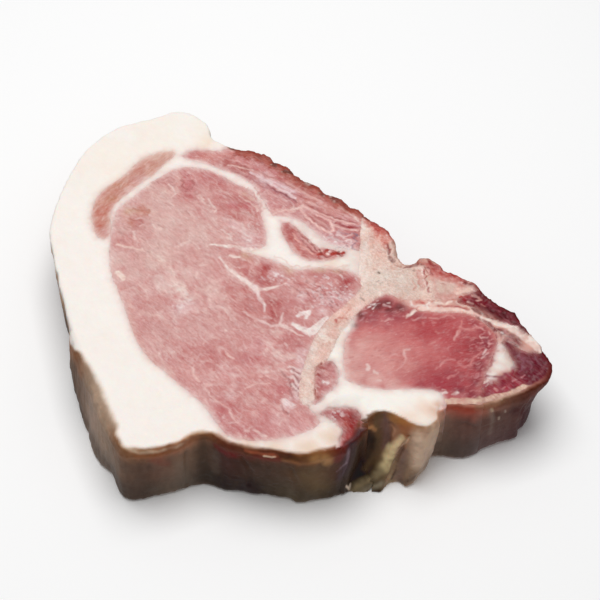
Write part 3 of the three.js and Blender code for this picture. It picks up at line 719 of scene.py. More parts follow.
# Marbling and seams: (colour, strength, width at the start, width at the end, points).
VEINS = {
    "loin_eye": [
        ("EFD9D2", 1.0, 0.7, 1.5, [(-22.4, 4.5), (-20.6, 1.4), (-19, -0.6), (-16, -3.5), (-13, -6),
                                   (-10.5, -8)]),
        ("E9D0CC", 1.0, 1.9, 0.4, [(-11, -7.6), (-10.2, -9.6), (-9.2, -12.4), (-8.2, -14.4), (-8, -17)]),
        ("EED5CE", 0.9, 1.5, 0.4, [(-10.5, -8.6), (-7.5, -8.2), (-4.4, -7.2), (-2, -6)]),
        ("E7C5C0", 0.9, 0.5, 0.8, [(-14.5, -17), (-11.5, -19.5), (-9, -21), (-6, -22.6), (-3.5, -22.3)]),
        ("E9CAC4", 0.9, 1.0, 0.5, [(-3.5, -22), (-1.4, -23), (0.6, -24.8), (3, -26.4)]),
        ("E6C6C1", 0.8, 0.9, 0.3, [(-3.5, -22), (-3.2, -20), (-2.6, -17.6)]),
        ("E4C3BC", 0.8, 0.8, 0.5, [(-7, -28.8), (-5.2, -31.6), (-3, -33.4), (0, -35)]),
        ("E6C5BB", 0.8, 0.9, 0.4, [(-54, 9.8), (-51, 9), (-48, 8), (-45.6, 7.2)]),
        ("E4C3BB", 0.7, 1.2, 0.8, [(-35.4, 9), (-33.4, 10.4), (-31.6, 11.4)]),
        ("F2E0D8", 0.8, 0.4, 2.2, [(-25.5, 9.5), (-21, 9.5), (-17.5, 8.8), (-14, 7.7), (-11, 7.6)]),
        ("E8C2BB", 0.8, 0.6, 0.4, [(-28.4, -38), (-28, -40), (-26.4, -42.6)]),
        ("E6BEB8", 0.8, 0.5, 0.7, [(-25, -45), (-23, -48), (-19.5, -51), (-17.5, -53), (-16, -56.5),
                                   (-13.6, -58.8)]),
        ("E3B9B4", 0.7, 0.6, 0.4, [(-13.6, -58.8), (-12, -61)]),
        ("DDB2AE", 0.7, 0.5, 0.4, [(-24.6, -49.5), (-21.6, -54)]),
        ("E6C4BE", 0.8, 0.8, 0.5, [(-10.4, -60), (-7, -62.4)]),
        ("E3B9B1", 0.8, 0.8, 0.5, [(-18.8, -33.2), (-17, -35)]),
        ("E5BCB5", 0.7, 0.6, 0.4, [(-13, -45.4), (-9.6, -43.6), (-6, -44)]),
        ("E1BBB4", 0.7, 0.6, 0.4, [(-43.6, -26.6), (-41, -29.4), (-38.6, -33)]),
        ("EACBC4", 0.9, 1.0, 0.9, [(-27.8, 1), (-27, 1)]),
        ("EDD6CB", 0.95, 1.6, 1.8, [(-53.2, -1.4), (-51.4, -3.6)]),
        ("EDD5CC", 0.85, 1.1, 0.8, [(-19, 5), (-16.2, 4.8)]),
        ("E8C3BC", 0.8, 0.7, 0.9, [(-24.7, -11.8), (-24.5, -13)]),
        ("E6C3BC", 0.8, 0.9, 0.9, [(-43.4, 18.2), (-42.8, 17), (-41.4, 16.2)]),
        ("E8CAC3", 0.8, 0.9, 0.7, [(-49.2, 15.6), (-49.2, 13.6), (-48.6, 12.4)]),
        ("E6C8C0", 0.7, 1.0, 0.5, [(-39.4, 28.6), (-37.4, 26.6)]),
        ("E6BBB5", 0.8, 1.2, 1.0, [(-24.4, -43.8), (-23.4, -44)]),
        ("E9C6BF", 0.8, 0.7, 0.7, [(-19.7, -24), (-19.4, -24.4)]),
        ("E9C6BF", 0.8, 0.7, 0.7, [(-38.4, -32.6), (-38.3, -33.4)]),
        ("E3B8B2", 0.8, 1.0, 1.0, [(-9, -41), (-8.6, -41.2)]),
        ("E3B8B2", 0.8, 1.0, 0.9, [(-7, -41.2), (-6.8, -41.4)]),
        ("F0E1DD", 1.0, 1.4, 2.0, [(1.8, -19), (3.4, -17.6), (5, -17.6)]),  # fat beside the bone
        ("EFE0DC", 1.0, 1.8, 1.0, [(5, -17.4), (4.2, -19.6)]),
        ("EFE1DB", 1.0, 1.0, 3.2, [(0.4, -21.8), (2.4, -23.4), (5, -24.2), (8.4, -24)]),
        ("EFE1DB", 1.0, 3.0, 2.6, [(6, -24.6), (8.6, -22), (10.4, -20)]),
        ("EDDDD6", 0.9, 1.4, 0.8, [(3.6, -24.6), (5.6, -26.6)]),
        ("D9AFAB", 0.9, 1.4, 1.0, [(-2.6, -50), (-0.6, -50.8), (1, -51.6)]),
        ("E9CFCD", 0.9, 1.6, 1.2, [(-2, -50.2), (0.4, -51.8)]),
        ("9B6361", 0.7, 0.5, 0.3, [(-2.6, -52), (-1.8, -53.6), (-0.8, -54.6)]),
        ("E6CDC9", 0.9, 0.8, 0.5, [(-0.6, -37.8), (1, -38.4), (2.6, -39.6)]),  # combed fringe
        ("E6CDC9", 0.9, 0.8, 0.5, [(0.2, -39.6), (1.6, -40.6), (2.8, -42)]),
        ("E6CDC9", 0.9, 0.8, 0.5, [(0, -41.6), (1.2, -42.8), (2.5, -44.4)]),
        ("E6CDC9", 0.9, 0.8, 0.5, [(0, -44), (1.2, -45.2), (2.4, -46.8)]),
        ("E6CDC9", 0.9, 0.8, 0.5, [(0.6, -46.6), (1.6, -47.8), (2.4, -49)]),
        ("945F5E", 0.75, 0.5, 0.3, [(-2.6, -39.8), (-1, -42.4), (0, -45)]),
        ("945F5E", 0.75, 0.5, 0.4, [(0.2, -38.8), (1.8, -40), (3, -40.8)]),
        ("945F5E", 0.75, 0.5, 0.4, [(0.6, -41), (1.8, -42.4), (2.6, -43.4)]),
        ("945F5E", 0.75, 0.5, 0.4, [(0.4, -43.4), (1.6, -44.6), (2.4, -46)]),
        ("945F5E", 0.75, 0.5, 0.4, [(0.6, -45.8), (1.8, -47), (2.4, -48.2)]),
        ("A0625F", 0.6, 0.5, 0.3, [(-0.4, -46), (0.4, -49)]),
        # squiggles above
        ("E9CDC6", 0.8, 0.5, 0.4, [(-39.6, 36.1), (-38.2, 33.9), (-37.1, 32.1), (-38.2, 30)]),
        ("E9CDC6", 0.8, 0.5, 0.4, [(-41.4, 34.6), (-40.4, 33.4), (-41.6, 32)]),
        ("E9CDC6", 0.8, 0.5, 0.4, [(-26.8, 29.9), (-26.2, 28), (-25.4, 26.4), (-24.1, 25.1), (-24.6, 23.4)]),
        ("E9CDC6", 0.7, 0.4, 0.4, [(-29.4, 31.4), (-28.4, 30), (-28.8, 28.6)]),
        ("A4605C", 0.7, 0.5, 0.4, [(-36, 38.4), (-34.6, 36.8), (-35.4, 35.2), (-33.8, 34)]),
        ("A4605C", 0.6, 0.5, 0.4, [(-32.4, 38), (-31.6, 36), (-32.4, 34)]),
        ("B07060", 0.7, 0.7, 0.5, [(-50.4, 25.1), (-47.8, 24.6), (-45.3, 24.6), (-45.5, 22.9)]),
        ("E3BEB8", 0.7, 0.4, 0.4, [(-49.4, 20.8), (-47.8, 21.4), (-46.2, 20.6), (-46, 19), (-47.4, 18)]),
        ("B06C6A", 0.6, 0.4, 0.4, [(-48.9, 20), (-47.8, 20.4), (-47, 19.6), (-47.6, 18.8)]),
        ("B87870", 0.7, 1.2, 1.0, [(-51, 21.2), (-49.6, 20)]),
        ("E6C8C0", 0.8, 0.6, 0.5, [(-41.6, 17), (-40.6, 16.2)]),
        ("E6C8C0", 0.8, 0.5, 0.5, [(-43.6, 18.2), (-43, 17.4)]),
        ("B07878", 0.6, 0.8, 0.5, [(-53, 11.6), (-51.4, 11)]),
        ("C8958E", 0.7, 0.5, 0.4, [(-19.3, 23.8), (-14.9, 23.3), (-10.9, 21.8)]),
        ("EBCFC6", 0.8, 0.4, 0.5, [(-16.6, 30.8), (-14.4, 29), (-12.7, 27.3), (-10.6, 24.4)]),
        ("E2BDB6", 0.6, 0.4, 0.4, [(-24, 34), (-20, 31.4), (-17, 28)]),
        ("B4706C", 0.6, 0.5, 0.4, [(-21, 31), (-17.6, 28.8), (-15, 26)]),
        ("EBD2CC", 0.8, 0.5, 0.4, [(-22, 16), (-19.6, 14.4), (-18.6, 12)]),
        ("EBD2CC", 0.8, 0.4, 0.4, [(-14.6, 14.6), (-12.6, 12.4), (-13, 10.6)]),
        ("E6C3BC", 0.7, 0.4, 0.4, [(-33, 24), (-31, 22), (-30.6, 19.6)]),
        ("E6C3BC", 0.7, 0.4, 0.4, [(-36.6, 4), (-34, 1.6), (-33.4, -1)]),
        ("E6C3BC", 0.7, 0.5, 0.4, [(-46.6, -6), (-44, -9), (-43.4, -12)]),
        ("AE6A68", 0.6, 0.5, 0.4, [(-12.4, -2), (-9.6, -4.6), (-8.6, -7)]),
        ("AE6A68", 0.6, 0.5, 0.4, [(0.6, -5), (3.4, -7.4), (5.8, -8)]),
    ],
    "back_muscle": [
        ("E8CECF", 0.9, 0.7, 1.1, [(-13.6, 41.6), (-11.4, 40.2), (-9, 38.6), (-6.4, 36)]),  # silverskin
        ("E8CECF", 0.85, 1.1, 0.5, [(-6.4, 36), (-3.6, 33.8), (-0.6, 31.4), (1.2, 29.6)]),
        ("E4C8C9", 0.8, 0.6, 0.5, [(-7.2, 38), (-3.6, 35.6), (0.6, 32.4)]),
        ("8F5458", 0.8, 0.6, 0.4, [(-8.4, 36.6), (-5.5, 33.4), (-1.6, 30.8), (1.6, 28)]),
        ("EBC3BA", 0.8, 0.6, 0.5, [(-20.9, 44.8), (-17, 43.8), (-13, 42.4)]),
        ("E4B8B2", 0.8, 0.5, 0.5, [(-13, 42.4), (-7.2, 39.9), (-2.3, 36.3), (2.5, 32.5)]),
        ("A45F5C", 0.7, 0.6, 0.4, [(-16.6, 44.6), (-11, 41.8), (-5, 38.4), (1, 34)]),
        ("A86462", 0.6, 0.7, 0.5, [(-20, 42.6), (-14.4, 39.6), (-9.6, 35)]),
        ("EDCFC8", 0.9, 1.3, 1.0, [(1.6, 25.4), (3.4, 26.6)]),
        ("E9C2BA", 0.8, 0.6, 0.8, [(-6.3, 23.5), (-2.2, 24.4), (1.6, 25)]),
        ("EFC6BE", 0.95, 0.7, 0.7, [(2.2, 26), (4.4, 21.6), (7.2, 18.8), (10.3, 16.2), (12, 15), (12.9, 16)]),
        ("EFC6BE", 0.95, 0.7, 0.7, [(12.9, 16), (12.8, 17.5), (11.9, 19.5), (9.4, 21.6), (6.6, 23.8),
                                    (3.5, 26)]),
        ("D9A59E", 0.8, 0.5, 0.4, [(5.4, 23.4), (8, 20.8), (10.6, 18.2)]),
        ("EBBFB7", 0.9, 0.5, 0.5, [(3.5, 26.4), (8.2, 23.8), (11.9, 21.4), (16.6, 19.4), (20.7, 18.4)]),
        ("9E4A4C", 0.9, 1.1, 0.9, [(13.8, 18.8), (17.2, 17.7), (20.9, 17)]),
        ("A25754", 0.8, 0.7, 0.5, [(4.4, 27), (9, 24), (13, 21.4), (17, 20), (20.4, 19)]),
        ("AC6562", 0.8, 0.8, 0.5, [(5.4, 21.6), (8.6, 18.4), (11, 16.8)]),
        ("AC6562", 0.7, 0.8, 0.5, [(7.2, 22), (10.4, 19), (12, 17.6)]),
        ("EAC3BC", 0.95, 0.6, 0.6, [(13.5, 17.8), (16.6, 16.6), (20.8, 16)]),
        ("E5B7B0", 0.8, 0.6, 0.6, [(5, 28), (9.6, 25.6), (14, 23.4), (19.6, 21)]),
        ("DFAFA8", 0.8, 0.6, 0.5, [(-2, 37), (3, 33), (7, 29.6), (10, 27), (15, 24)]),
        ("B06A66", 0.7, 0.7, 0.4, [(0, 32), (5, 29.4), (10, 25.6), (16, 22)]),
        ("B06A66", 0.7, 0.6, 0.4, [(2.6, 34.6), (7, 30.6), (12, 27)]),
        ("DDA9A5", 0.6, 0.6, 0.4, [(-24, 48.6), (-18, 46.6), (-13.4, 43.6)]),
        # torn membrane by the bone
        ("EFD5CC", 0.9, 0.5, 0.7, [(14.6, 25.6), (17, 24.2), (19.4, 22.4), (20.8, 20)]),
        ("822A28", 0.8, 0.9, 0.7, [(16.4, 26), (18.6, 24.6), (21, 22.6)]),
        ("583630", 0.9, 0.9, 0.6, [(-12.6, 50), (-9.9, 49), (-7.6, 47.4)]),
        ("643A34", 0.85, 1.6, 2.2, [(2.2, 38.2), (4.4, 36.3), (6.2, 34.6)]),
        ("643A34", 0.8, 0.6, 0.4, [(-2.4, 42), (-0.6, 41.2)]),
        ("DCC4B8", 0.85, 0.5, 0.5, [(-2, 42.4), (-1.4, 42)]),
        ("DCC4B8", 0.85, 0.6, 0.5, [(-0.4, 40.8), (0.4, 40.4)]),
        ("DCC4B8", 0.8, 0.5, 0.6, [(1.3, 39.9), (2, 39.4), (3.1, 39)]),
        ("D0A294", 0.8, 0.4, 0.4, [(3.6, 36.6), (4.6, 36.9), (5.4, 35.8)]),
        ("8A7080", 0.8, 0.6, 0.5, [(19, 14.8), (20.4, 14), (19, 12.8), (20.2, 11.6)]),
        ("8A7080", 0.7, 0.6, 0.5, [(19.6, 10.6), (18.6, 9.2), (19.6, 8)]),
        ("8A7080", 0.7, 0.5, 0.4, [(14.4, 15.6), (15.8, 14.6), (17.5, 14.6)]),
        ("9A7376", 0.6, 0.6, 0.5, [(11.6, 13.4), (14, 12), (16.4, 10.6)]),
        ("EBD4D2", 0.8, 0.7, 0.6, [(10, 13.4), (13, 12.6), (15.6, 11.4), (18, 12)]),
        ("EBD4D2", 0.8, 0.5, 0.6, [(14, 14), (17, 13.4), (18.6, 14.2)]),
        ("F0DFDA", 0.9, 0.4, 0.4, [(15.6, 9.4), (17.2, 8.4), (18.4, 9)]),
    ],
    "pocket_muscle": [
        ("E3A99F", 0.95, 0.5, 0.6, [(0.6, 15.2), (1.2, 12.8), (3, 10), (5.2, 7.8), (6.4, 6.4)]),
        ("DFA8A1", 0.7, 0.4, 0.4, [(2.2, 16.4), (4.2, 13), (6, 10), (7.2, 7.6)]),
        ("8E3B38", 0.8, 0.6, 0.5, [(2, 16), (3.8, 13.2), (6, 10.4), (7.6, 8)]),
        ("8E3B38", 0.7, 0.5, 0.6, [(3, 12.4), (4.6, 9.6), (6.8, 7)]),
        ("A8423C", 0.9, 1.6, 1.4, [(8.4, 6.6), (9.8, 6.4)]),  # frilly end
        ("A8423C", 0.9, 1.0, 0.8, [(10.4, 7.6), (11.2, 8.8)]),
        ("A8423C", 0.9, 1.6, 1.2, [(12.6, 6.6), (14.6, 7), (15.8, 6.8)]),
        ("F0D8CF", 0.95, 0.7, 0.6, [(10.9, 6.9), (11.4, 6.6)]),
        ("EFD3CA", 0.95, 0.6, 0.5, [(14.5, 7.8), (15.1, 7.5)]),
        ("E9C4B9", 0.9, 0.4, 0.4, [(8.2, 7.8), (9.4, 7.8)]),
        ("863B38", 0.8, 0.5, 0.4, [(8.6, 8.4), (9, 6.4), (10.4, 5.4), (12, 5.6)]),
        ("863B38", 0.8, 0.5, 0.4, [(14.6, 8), (14.2, 6.4), (15.4, 5.2), (16.6, 5.4)]),
    ],
    "bone": [
        ("8F302C", 0.8, 0.8, 0.6, [(25, 18.8), (25.6, 18.2)]),
        ("8F302C", 0.8, 0.6, 0.8, [(26, 17), (26.6, 16.2)]),
        ("7E2C24", 0.9, 0.4, 0.8, [(29.6, 10.6), (30.1, 8.4), (29.9, 6.6)]),
        ("6E241E", 0.95, 1.0, 1.3, [(30, 5.4), (30.6, 4.2), (31, 3.2)]),
        ("A8604E", 0.6, 0.6, 0.5, [(31.6, 2.2), (32.6, 1.2), (33.8, 0.9)]),
        ("7A3428", 0.9, 0.6, 1.1, [(34.4, 0.5), (35.8, 0.7), (37.2, 1.2), (38.4, 1.2)]),
        ("9A4438", 0.8, 0.4, 0.4, [(38.9, 2.2), (38.4, 3.6), (38.9, 4.6)]),
        ("A03A38", 0.95, 0.6, 0.5, [(40, -0.6), (40.5, -1.8), (40.2, -2.8)]),
        ("A03A38", 0.95, 0.5, 0.6, [(40.8, -3.4), (40.4, -4.8), (41, -6), (40.8, -7)]),
        ("A03A38", 0.9, 0.5, 0.5, [(41.4, -7.6), (41.2, -8.8), (41.7, -9.8)]),
        ("C8887E", 0.8, 0.5, 0.4, [(38, -2), (38.8, -4), (38.4, -6), (39, -8.4)]),
        ("C8887E", 0.7, 0.4, 0.4, [(36.6, -5.4), (37.4, -7.4), (36.8, -9)]),
        ("F0D6CE", 0.9, 0.6, 0.4, [(39.6, 0.4), (39.6, -1), (39.9, -2.8)]),
        ("F0D6CE", 0.8, 0.4, 0.5, [(40.1, -4.6), (40.4, -6.4), (40.8, -8)]),
        ("93302C", 0.9, 0.6, 0.5, [(40.7, 0.4), (41.4, -1), (42.2, -2.2)]),
        ("6A544B", 0.9, 0.35, 0.35, [(26.3, -1.6), (26.6, -1.8)]),
        ("8E7A70", 0.8, 0.45, 0.4, [(25.8, -5.3), (26.5, -4.7)]),
        ("8E7A70", 0.8, 0.45, 0.4, [(26.8, -6.3), (27.3, -5.8)]),
        ("EEE2DA", 0.8, 0.5, 0.4, [(31.3, -1.1), (33.4, -1.1)]),
        ("8E6E66", 0.8, 0.6, 0.5, [(37, -0.9), (37.5, -1.2)]),
        # dark margin below
        ("7E3A34", 0.9, 0.7, 0.8, [(27.5, -11.5), (24.1, -14.7), (21, -18.6), (18.8, -23.2)]),
        ("9A4A42", 0.85, 0.8, 0.9, [(17.4, -24.6), (15.5, -27.6), (14, -31.4), (12, -34.4)]),
        ("9A4A42", 0.8, 0.8, 0.6, [(8.6, -36.6), (7.2, -38.6), (7.1, -42.6), (6.9, -47.9), (7.4, -51)]),
        ("B9605A", 0.8, 1.0, 0.8, [(13.2, -20.4), (13.4, -21.4)]),
        ("C07069", 0.7, 0.6, 0.5, [(14, -19.6), (16.4, -19.8)]),
        ("C98B7E", 0.6, 0.7, 0.5, [(17.8, -15.6), (15.6, -19), (13, -23)]),
        ("8E7168", 0.7, 0.5, 0.6, [(20.6, -11.2), (21.8, -12.6)]),
    ],
    "cartilage": [
        ("8A2A28", 0.9, 0.6, 0.6, [(41.4, 0.4), (42.4, -1.2), (43, -2.6)]),
        ("A03C3A", 0.8, 0.9, 0.8, [(42.4, 2.6), (45, 0.6), (47.6, -1.6), (50, -3.2)]),
        ("C97F78", 0.7, 0.5, 0.4, [(42, -0.4), (43.6, -2.6), (45.6, -3.4)]),
        ("8A2E2C", 0.8, 0.7, 0.5, [(41.6, 3.4), (42.6, 1.8), (43.6, 1.4)]),
        ("EBC8BB", 0.9, 1.0, 0.9, [(50.2, -10.1), (52.3, -9.2), (54.3, -8.5)]),
        ("B02E38", 0.9, 0.9, 0.8, [(50.9, -12), (52.4, -11.4), (53.7, -11)]),
        ("E3C4BA", 0.7, 0.5, 0.4, [(44.6, -5), (46.4, -5.4), (48.4, -6.2), (50, -7)]),
        ("CB9088", 0.6, 0.8, 0.5, [(43, -5), (43.6, -8), (43.8, -10.4)]),
    ],
    "tenderloin": [
        ("E2B3AE", 0.85, 0.8, 0.5, [(34.4, -31.2), (33, -31.8), (32.8, -33.2), (33.6, -34.4)]),
        ("DDA8A3", 0.8, 0.6, 0.3, [(33.4, -34.8), (32, -36.8), (30.4, -38.8)]),
        ("DDA49F", 0.9, 0.9, 0.5, [(49.6, -24.6), (48.8, -26), (47.6, -27.6)]),
        ("D08A86", 0.8, 0.6, 0.4, [(50.6, -20.6), (50, -23), (49.4, -25)]),
        ("D48F8C", 0.8, 0.8, 0.4, [(50.4, -23), (52.6, -24.2), (54.4, -23), (56.4, -23.4)]),
        ("D28B8A", 0.8, 0.5, 0.6, [(43.4, -37), (44.6, -35.8), (46, -35), (47.4, -35.2)]),
        ("D08684", 0.8, 0.7, 0.4, [(48.4, -36), (49.6, -37.4), (51.6, -37.2), (53, -34.6), (55.6, -32)]),
        ("D08684", 0.7, 0.6, 0.4, [(45, -41.8), (46.6, -40.8), (48.4, -39.8)]),
        ("CF8886", 0.7, 0.8, 0.7, [(39.2, -21), (39.2, -22)]),
        ("D28E8B", 0.7, 0.9, 0.6, [(41.8, -28.6), (40.4, -29.6)]),
        ("D6938E", 0.6, 0.8, 0.6, [(42.6, -24.6), (43.4, -25)]),
        ("DDA9A6", 0.7, 0.7, 0.5, [(36, -20.2), (37.6, -19.6), (40, -19)]),
        ("D58F8B", 0.8, 0.8, 0.4, [(45, -18), (47, -18.4), (48.6, -19.4)]),
        ("E6C8C2", 0.9, 1.0, 0.8, [(22, -38.8), (22.4, -37.8), (22, -37)]),
        ("E6C8C2", 0.8, 0.7, 0.6, [(24, -39.4), (25, -40.2)]),
        ("E4C4BE", 0.8, 0.8, 0.6, [(25, -42.6), (26, -42.4)]),
        ("D8A19C", 0.7, 0.6, 0.5, [(29.6, -33), (30.6, -33.4)]),
        ("D9A19E", 0.7, 0.9, 0.8, [(28, -20.4), (29, -20)]),
        ("C99A9F", 0.7, 0.9, 0.6, [(21.6, -18), (22, -17.2)]),
        # painted glints along the dark top left
        ("F0DCD8", 0.95, 0.8, 0.6, [(23, -15), (23.6, -14.8)]),
        ("F0DCD8", 0.95, 0.8, 0.7, [(24.4, -14), (24.9, -13.7)]),
        ("E9CBC8", 0.9, 0.6, 0.5, [(25.6, -12.6), (26, -12.4)]),
        ("E1B9B8", 0.8, 0.5, 0.5, [(27.4, -14.6), (29.6, -15)]),
        ("F0D8CE", 0.9, 0.7, 1.0, [(34.6, -18.8), (36.4, -17), (38.4, -15.6)]),  # fat from the seam
        ("E6BFB6", 0.9, 0.9, 0.5, [(34.8, -18.2), (34.3, -19.6)]),
        ("D9A39C", 0.8, 0.5, 0.4, [(35.6, -13.6), (36, -14.8), (37.6, -15.4)]),
        # smaller painted glints
        ("F0DCD8", 0.9, 0.4, 0.4, [(23.3, -15), (23.6, -14.8)]),
        ("F0DCD8", 0.9, 0.4, 0.4, [(24.2, -15.8), (24.5, -15.6)]),
        ("E6C4C0", 0.8, 0.4, 0.4, [(28.7, -13.8), (29.1, -13.6)]),
        ("C08488", 0.8, 0.4, 0.3, [(20.6, -20.4), (21.4, -19.4)]),
        ("A86C70", 0.7, 0.4, 0.3, [(26.4, -17), (28.4, -17.4), (31, -17)]),
        ("C27C7A", 0.7, 0.5, 0.4, [(30.6, -18.4), (33, -17.6)]),
        ("CE8E8A", 0.7, 0.5, 0.4, [(41, -19), (43.6, -19.6), (46.4, -18.4)]),
        ("C27C7E", 0.7, 0.4, 0.3, [(52.4, -19.4), (53.6, -21), (54.4, -20)]),
        ("D8A2A0", 0.8, 0.4, 0.3, [(54.2, -22), (54.8, -22.8)]),
        ("D8A2A0", 0.8, 0.4, 0.3, [(56.4, -23.6), (57.2, -24.4)]),
        ("D8A2A0", 0.7, 0.4, 0.3, [(57.8, -28.6), (58.4, -29.4)]),
        ("C88A8C", 0.7, 0.4, 0.3, [(56.4, -36.4), (57, -35)]),
        ("C88A8C", 0.7, 0.4, 0.3, [(53.4, -41.4), (54.4, -40)]),
        ("8A3640", 0.6, 0.6, 0.4, [(57, -26), (57.6, -28), (57, -30.4)]),
        ("8A3640", 0.6, 0.6, 0.4, [(52, -44.4), (53.6, -42.4), (55, -39)]),
        ("E2B4B0", 0.85, 0.4, 0.5, [(55.6, -26.2), (56.2, -26.8)]),
        ("E2B4B0", 0.85, 0.5, 0.4, [(56.8, -26.6), (57.6, -27.2)]),
        ("E2B4B0", 0.8, 0.4, 0.4, [(58.3, -24.6), (58.6, -25.6)]),
        ("E6C4C0", 0.8, 0.5, 0.4, [(57, -31), (56, -33)]),
        ("E0B4B1", 0.7, 0.4, 0.3, [(57.6, -32.4), (55.4, -34.4)]),
        ("E8CFC9", 0.9, 0.5, 0.8, [(42.6, -47.4), (44.4, -47)]),
        ("E8CFC9", 0.9, 0.5, 0.8, [(46, -47.6), (47.6, -46.8)]),
        ("DEBFA9", 0.95, 2.4, 3.4, LIP),
    ],
    "side_muscle": [
        # painted glints along the outer edge
        ("934046", 0.6, 0.6, 0.5, [(61, -13.5), (63.9, -15.5), (66.7, -17.4), (68.6, -20.3)]),
        ("D9A69E", 0.85, 0.7, 0.5, [(54.5, -10.6), (56.3, -11.1), (56.8, -12.3), (56, -12.8)]),
        ("DDB0A8", 0.8, 0.5, 0.4, [(53, -13.4), (54.6, -14.2)]),
        ("C98880", 0.8, 0.6, 0.5, [(57, -14.1), (58.1, -14.9)]),
        ("A4606A", 0.6, 0.4, 0.3, [(58.6, -14.2), (60.6, -16), (62.4, -17)]),
        ("985A62", 0.6, 0.4, 0.3, [(62, -18), (63.6, -20), (65.6, -21.4)]),
        ("9C5C64", 0.6, 0.4, 0.3, [(64.6, -17.6), (66.6, -20), (68, -22.6)]),
        ("561E25", 0.6, 0.7, 0.5, [(58.6, -15.6), (62, -18), (65.6, -20.8)]),
        ("561E25", 0.5, 0.5, 0.4, [(61.6, -15.4), (65.4, -18.6), (68.4, -22)]),
        # painted lilac sheen by the seam
        ("A26A70", 0.7, 0.8, 0.7, [(62.6, -20.6), (66.4, -23), (70.4, -26.6)]),
        ("F2DED4", 1.0, 0.8, 4.0, SEAM),
    ],
    "tip_muscle": [
        # painted lilac sheen, as strokes
        ("946270", 0.5, 0.6, 0.5, [(66.4, -33.6), (67.6, -35.4), (67.2, -37.4), (66, -39)]),
        ("966672", 0.45, 0.5, 0.4, [(68.6, -35.4), (69.8, -37), (69.4, -38.2)]),
        ("8C5A66", 0.5, 0.5, 0.4, [(71, -34), (71.9, -35.3), (73, -36.6)]),
        ("A86A70", 0.6, 0.5, 0.4, [(67.6, -31.8), (68.6, -32.6), (70, -32.4)]),
        ("8F5A60", 0.4, 0.6, 0.5, [(70, -41), (73, -38.6), (74.6, -35)]),
        ("D29A96", 0.8, 0.6, 0.5, [(58.1, -45.6), (59, -46)]),
        ("D29A96", 0.8, 0.6, 0.5, [(60.5, -45.4), (61.4, -45)]),
        ("C08084", 0.7, 0.4, 0.4, [(63.4, -42.6), (64.8, -42.2)]),
        ("C08084", 0.7, 0.4, 0.3, [(66.4, -41), (67.4, -40.4)]),
        ("D9B5A2", 0.95, 3.2, 1.2, LIP),
    ],
    "tenderloin_fat": [
        ("F0D2C6", 1.0, 1.5, 1.2, [(38.6, -16), (42.9, -16.2), (46.6, -16.2), (50.3, -16.5), (53.6, -17.1)]),
        ("EAC6BC", 0.95, 1.0, 0.6, [(53.6, -17.1), (55.4, -18.1), (56.8, -19.2), (58.6, -20.3)]),
        ("EBC9BE", 0.9, 0.8, 0.6, [(49.4, -13.5), (51.9, -15), (53.7, -16)]),
        ("F1DACE", 0.9, 1.6, 1.2, [(41.8, -14.3), (44.5, -13.8), (47.8, -13.3)]),
        ("F2DED4", 1.0, 0.8, 4.0, SEAM),
        ("C2625C", 0.85, 1.3, 1.0, [(38, -13.4), (39.2, -13.9)]),
        ("F2E2DA", 0.9, 0.8, 0.6, [(35.7, -13.3), (36.1, -14.3), (37.5, -15), (39.3, -14.9)]),
        ("F4E4DC", 0.9, 0.7, 0.5, [(41, -13.5), (40.2, -14.6), (40.6, -16)]),
        ("B25450", 0.7, 0.6, 0.5, [(42.6, -12.9), (46, -13.2), (48.4, -12.7)]),
        ("A8484A", 0.8, 0.5, 0.6, [(43.6, -15), (47.6, -14.9), (50.6, -15.6), (53, -16.4)]),
        ("E2BDB2", 0.8, 0.5, 0.4, [(60.8, -24.8), (61, -26.5), (61.3, -28.6)]),  # the triangle's thin tip
        ("E2BDB2", 0.8, 0.4, 0.4, [(62.6, -26), (61.6, -28), (61.4, -29.4)]),
        ("C48A88", 0.8, 0.6, 0.5, [(63, -24.6), (64, -25.4)]),
        ("C48A88", 0.8, 0.6, 0.5, [(63.6, -27.2), (64.4, -28)]),
        ("C48A88", 0.7, 0.5, 0.5, [(65.6, -29), (66.6, -29.8)]),
        ("8A4650", 0.85, 0.8, 0.5, [(56.4, -41), (58, -41.4), (60, -41.4), (62, -40.4)]),
        ("EAD6CE", 0.9, 1.0, 0.8, [(55.2, -43.4), (56.4, -42.6)]),
        ("D29A96", 0.8, 0.6, 0.5, [(61.4, -43.6), (62.6, -43)]),
    ],
}

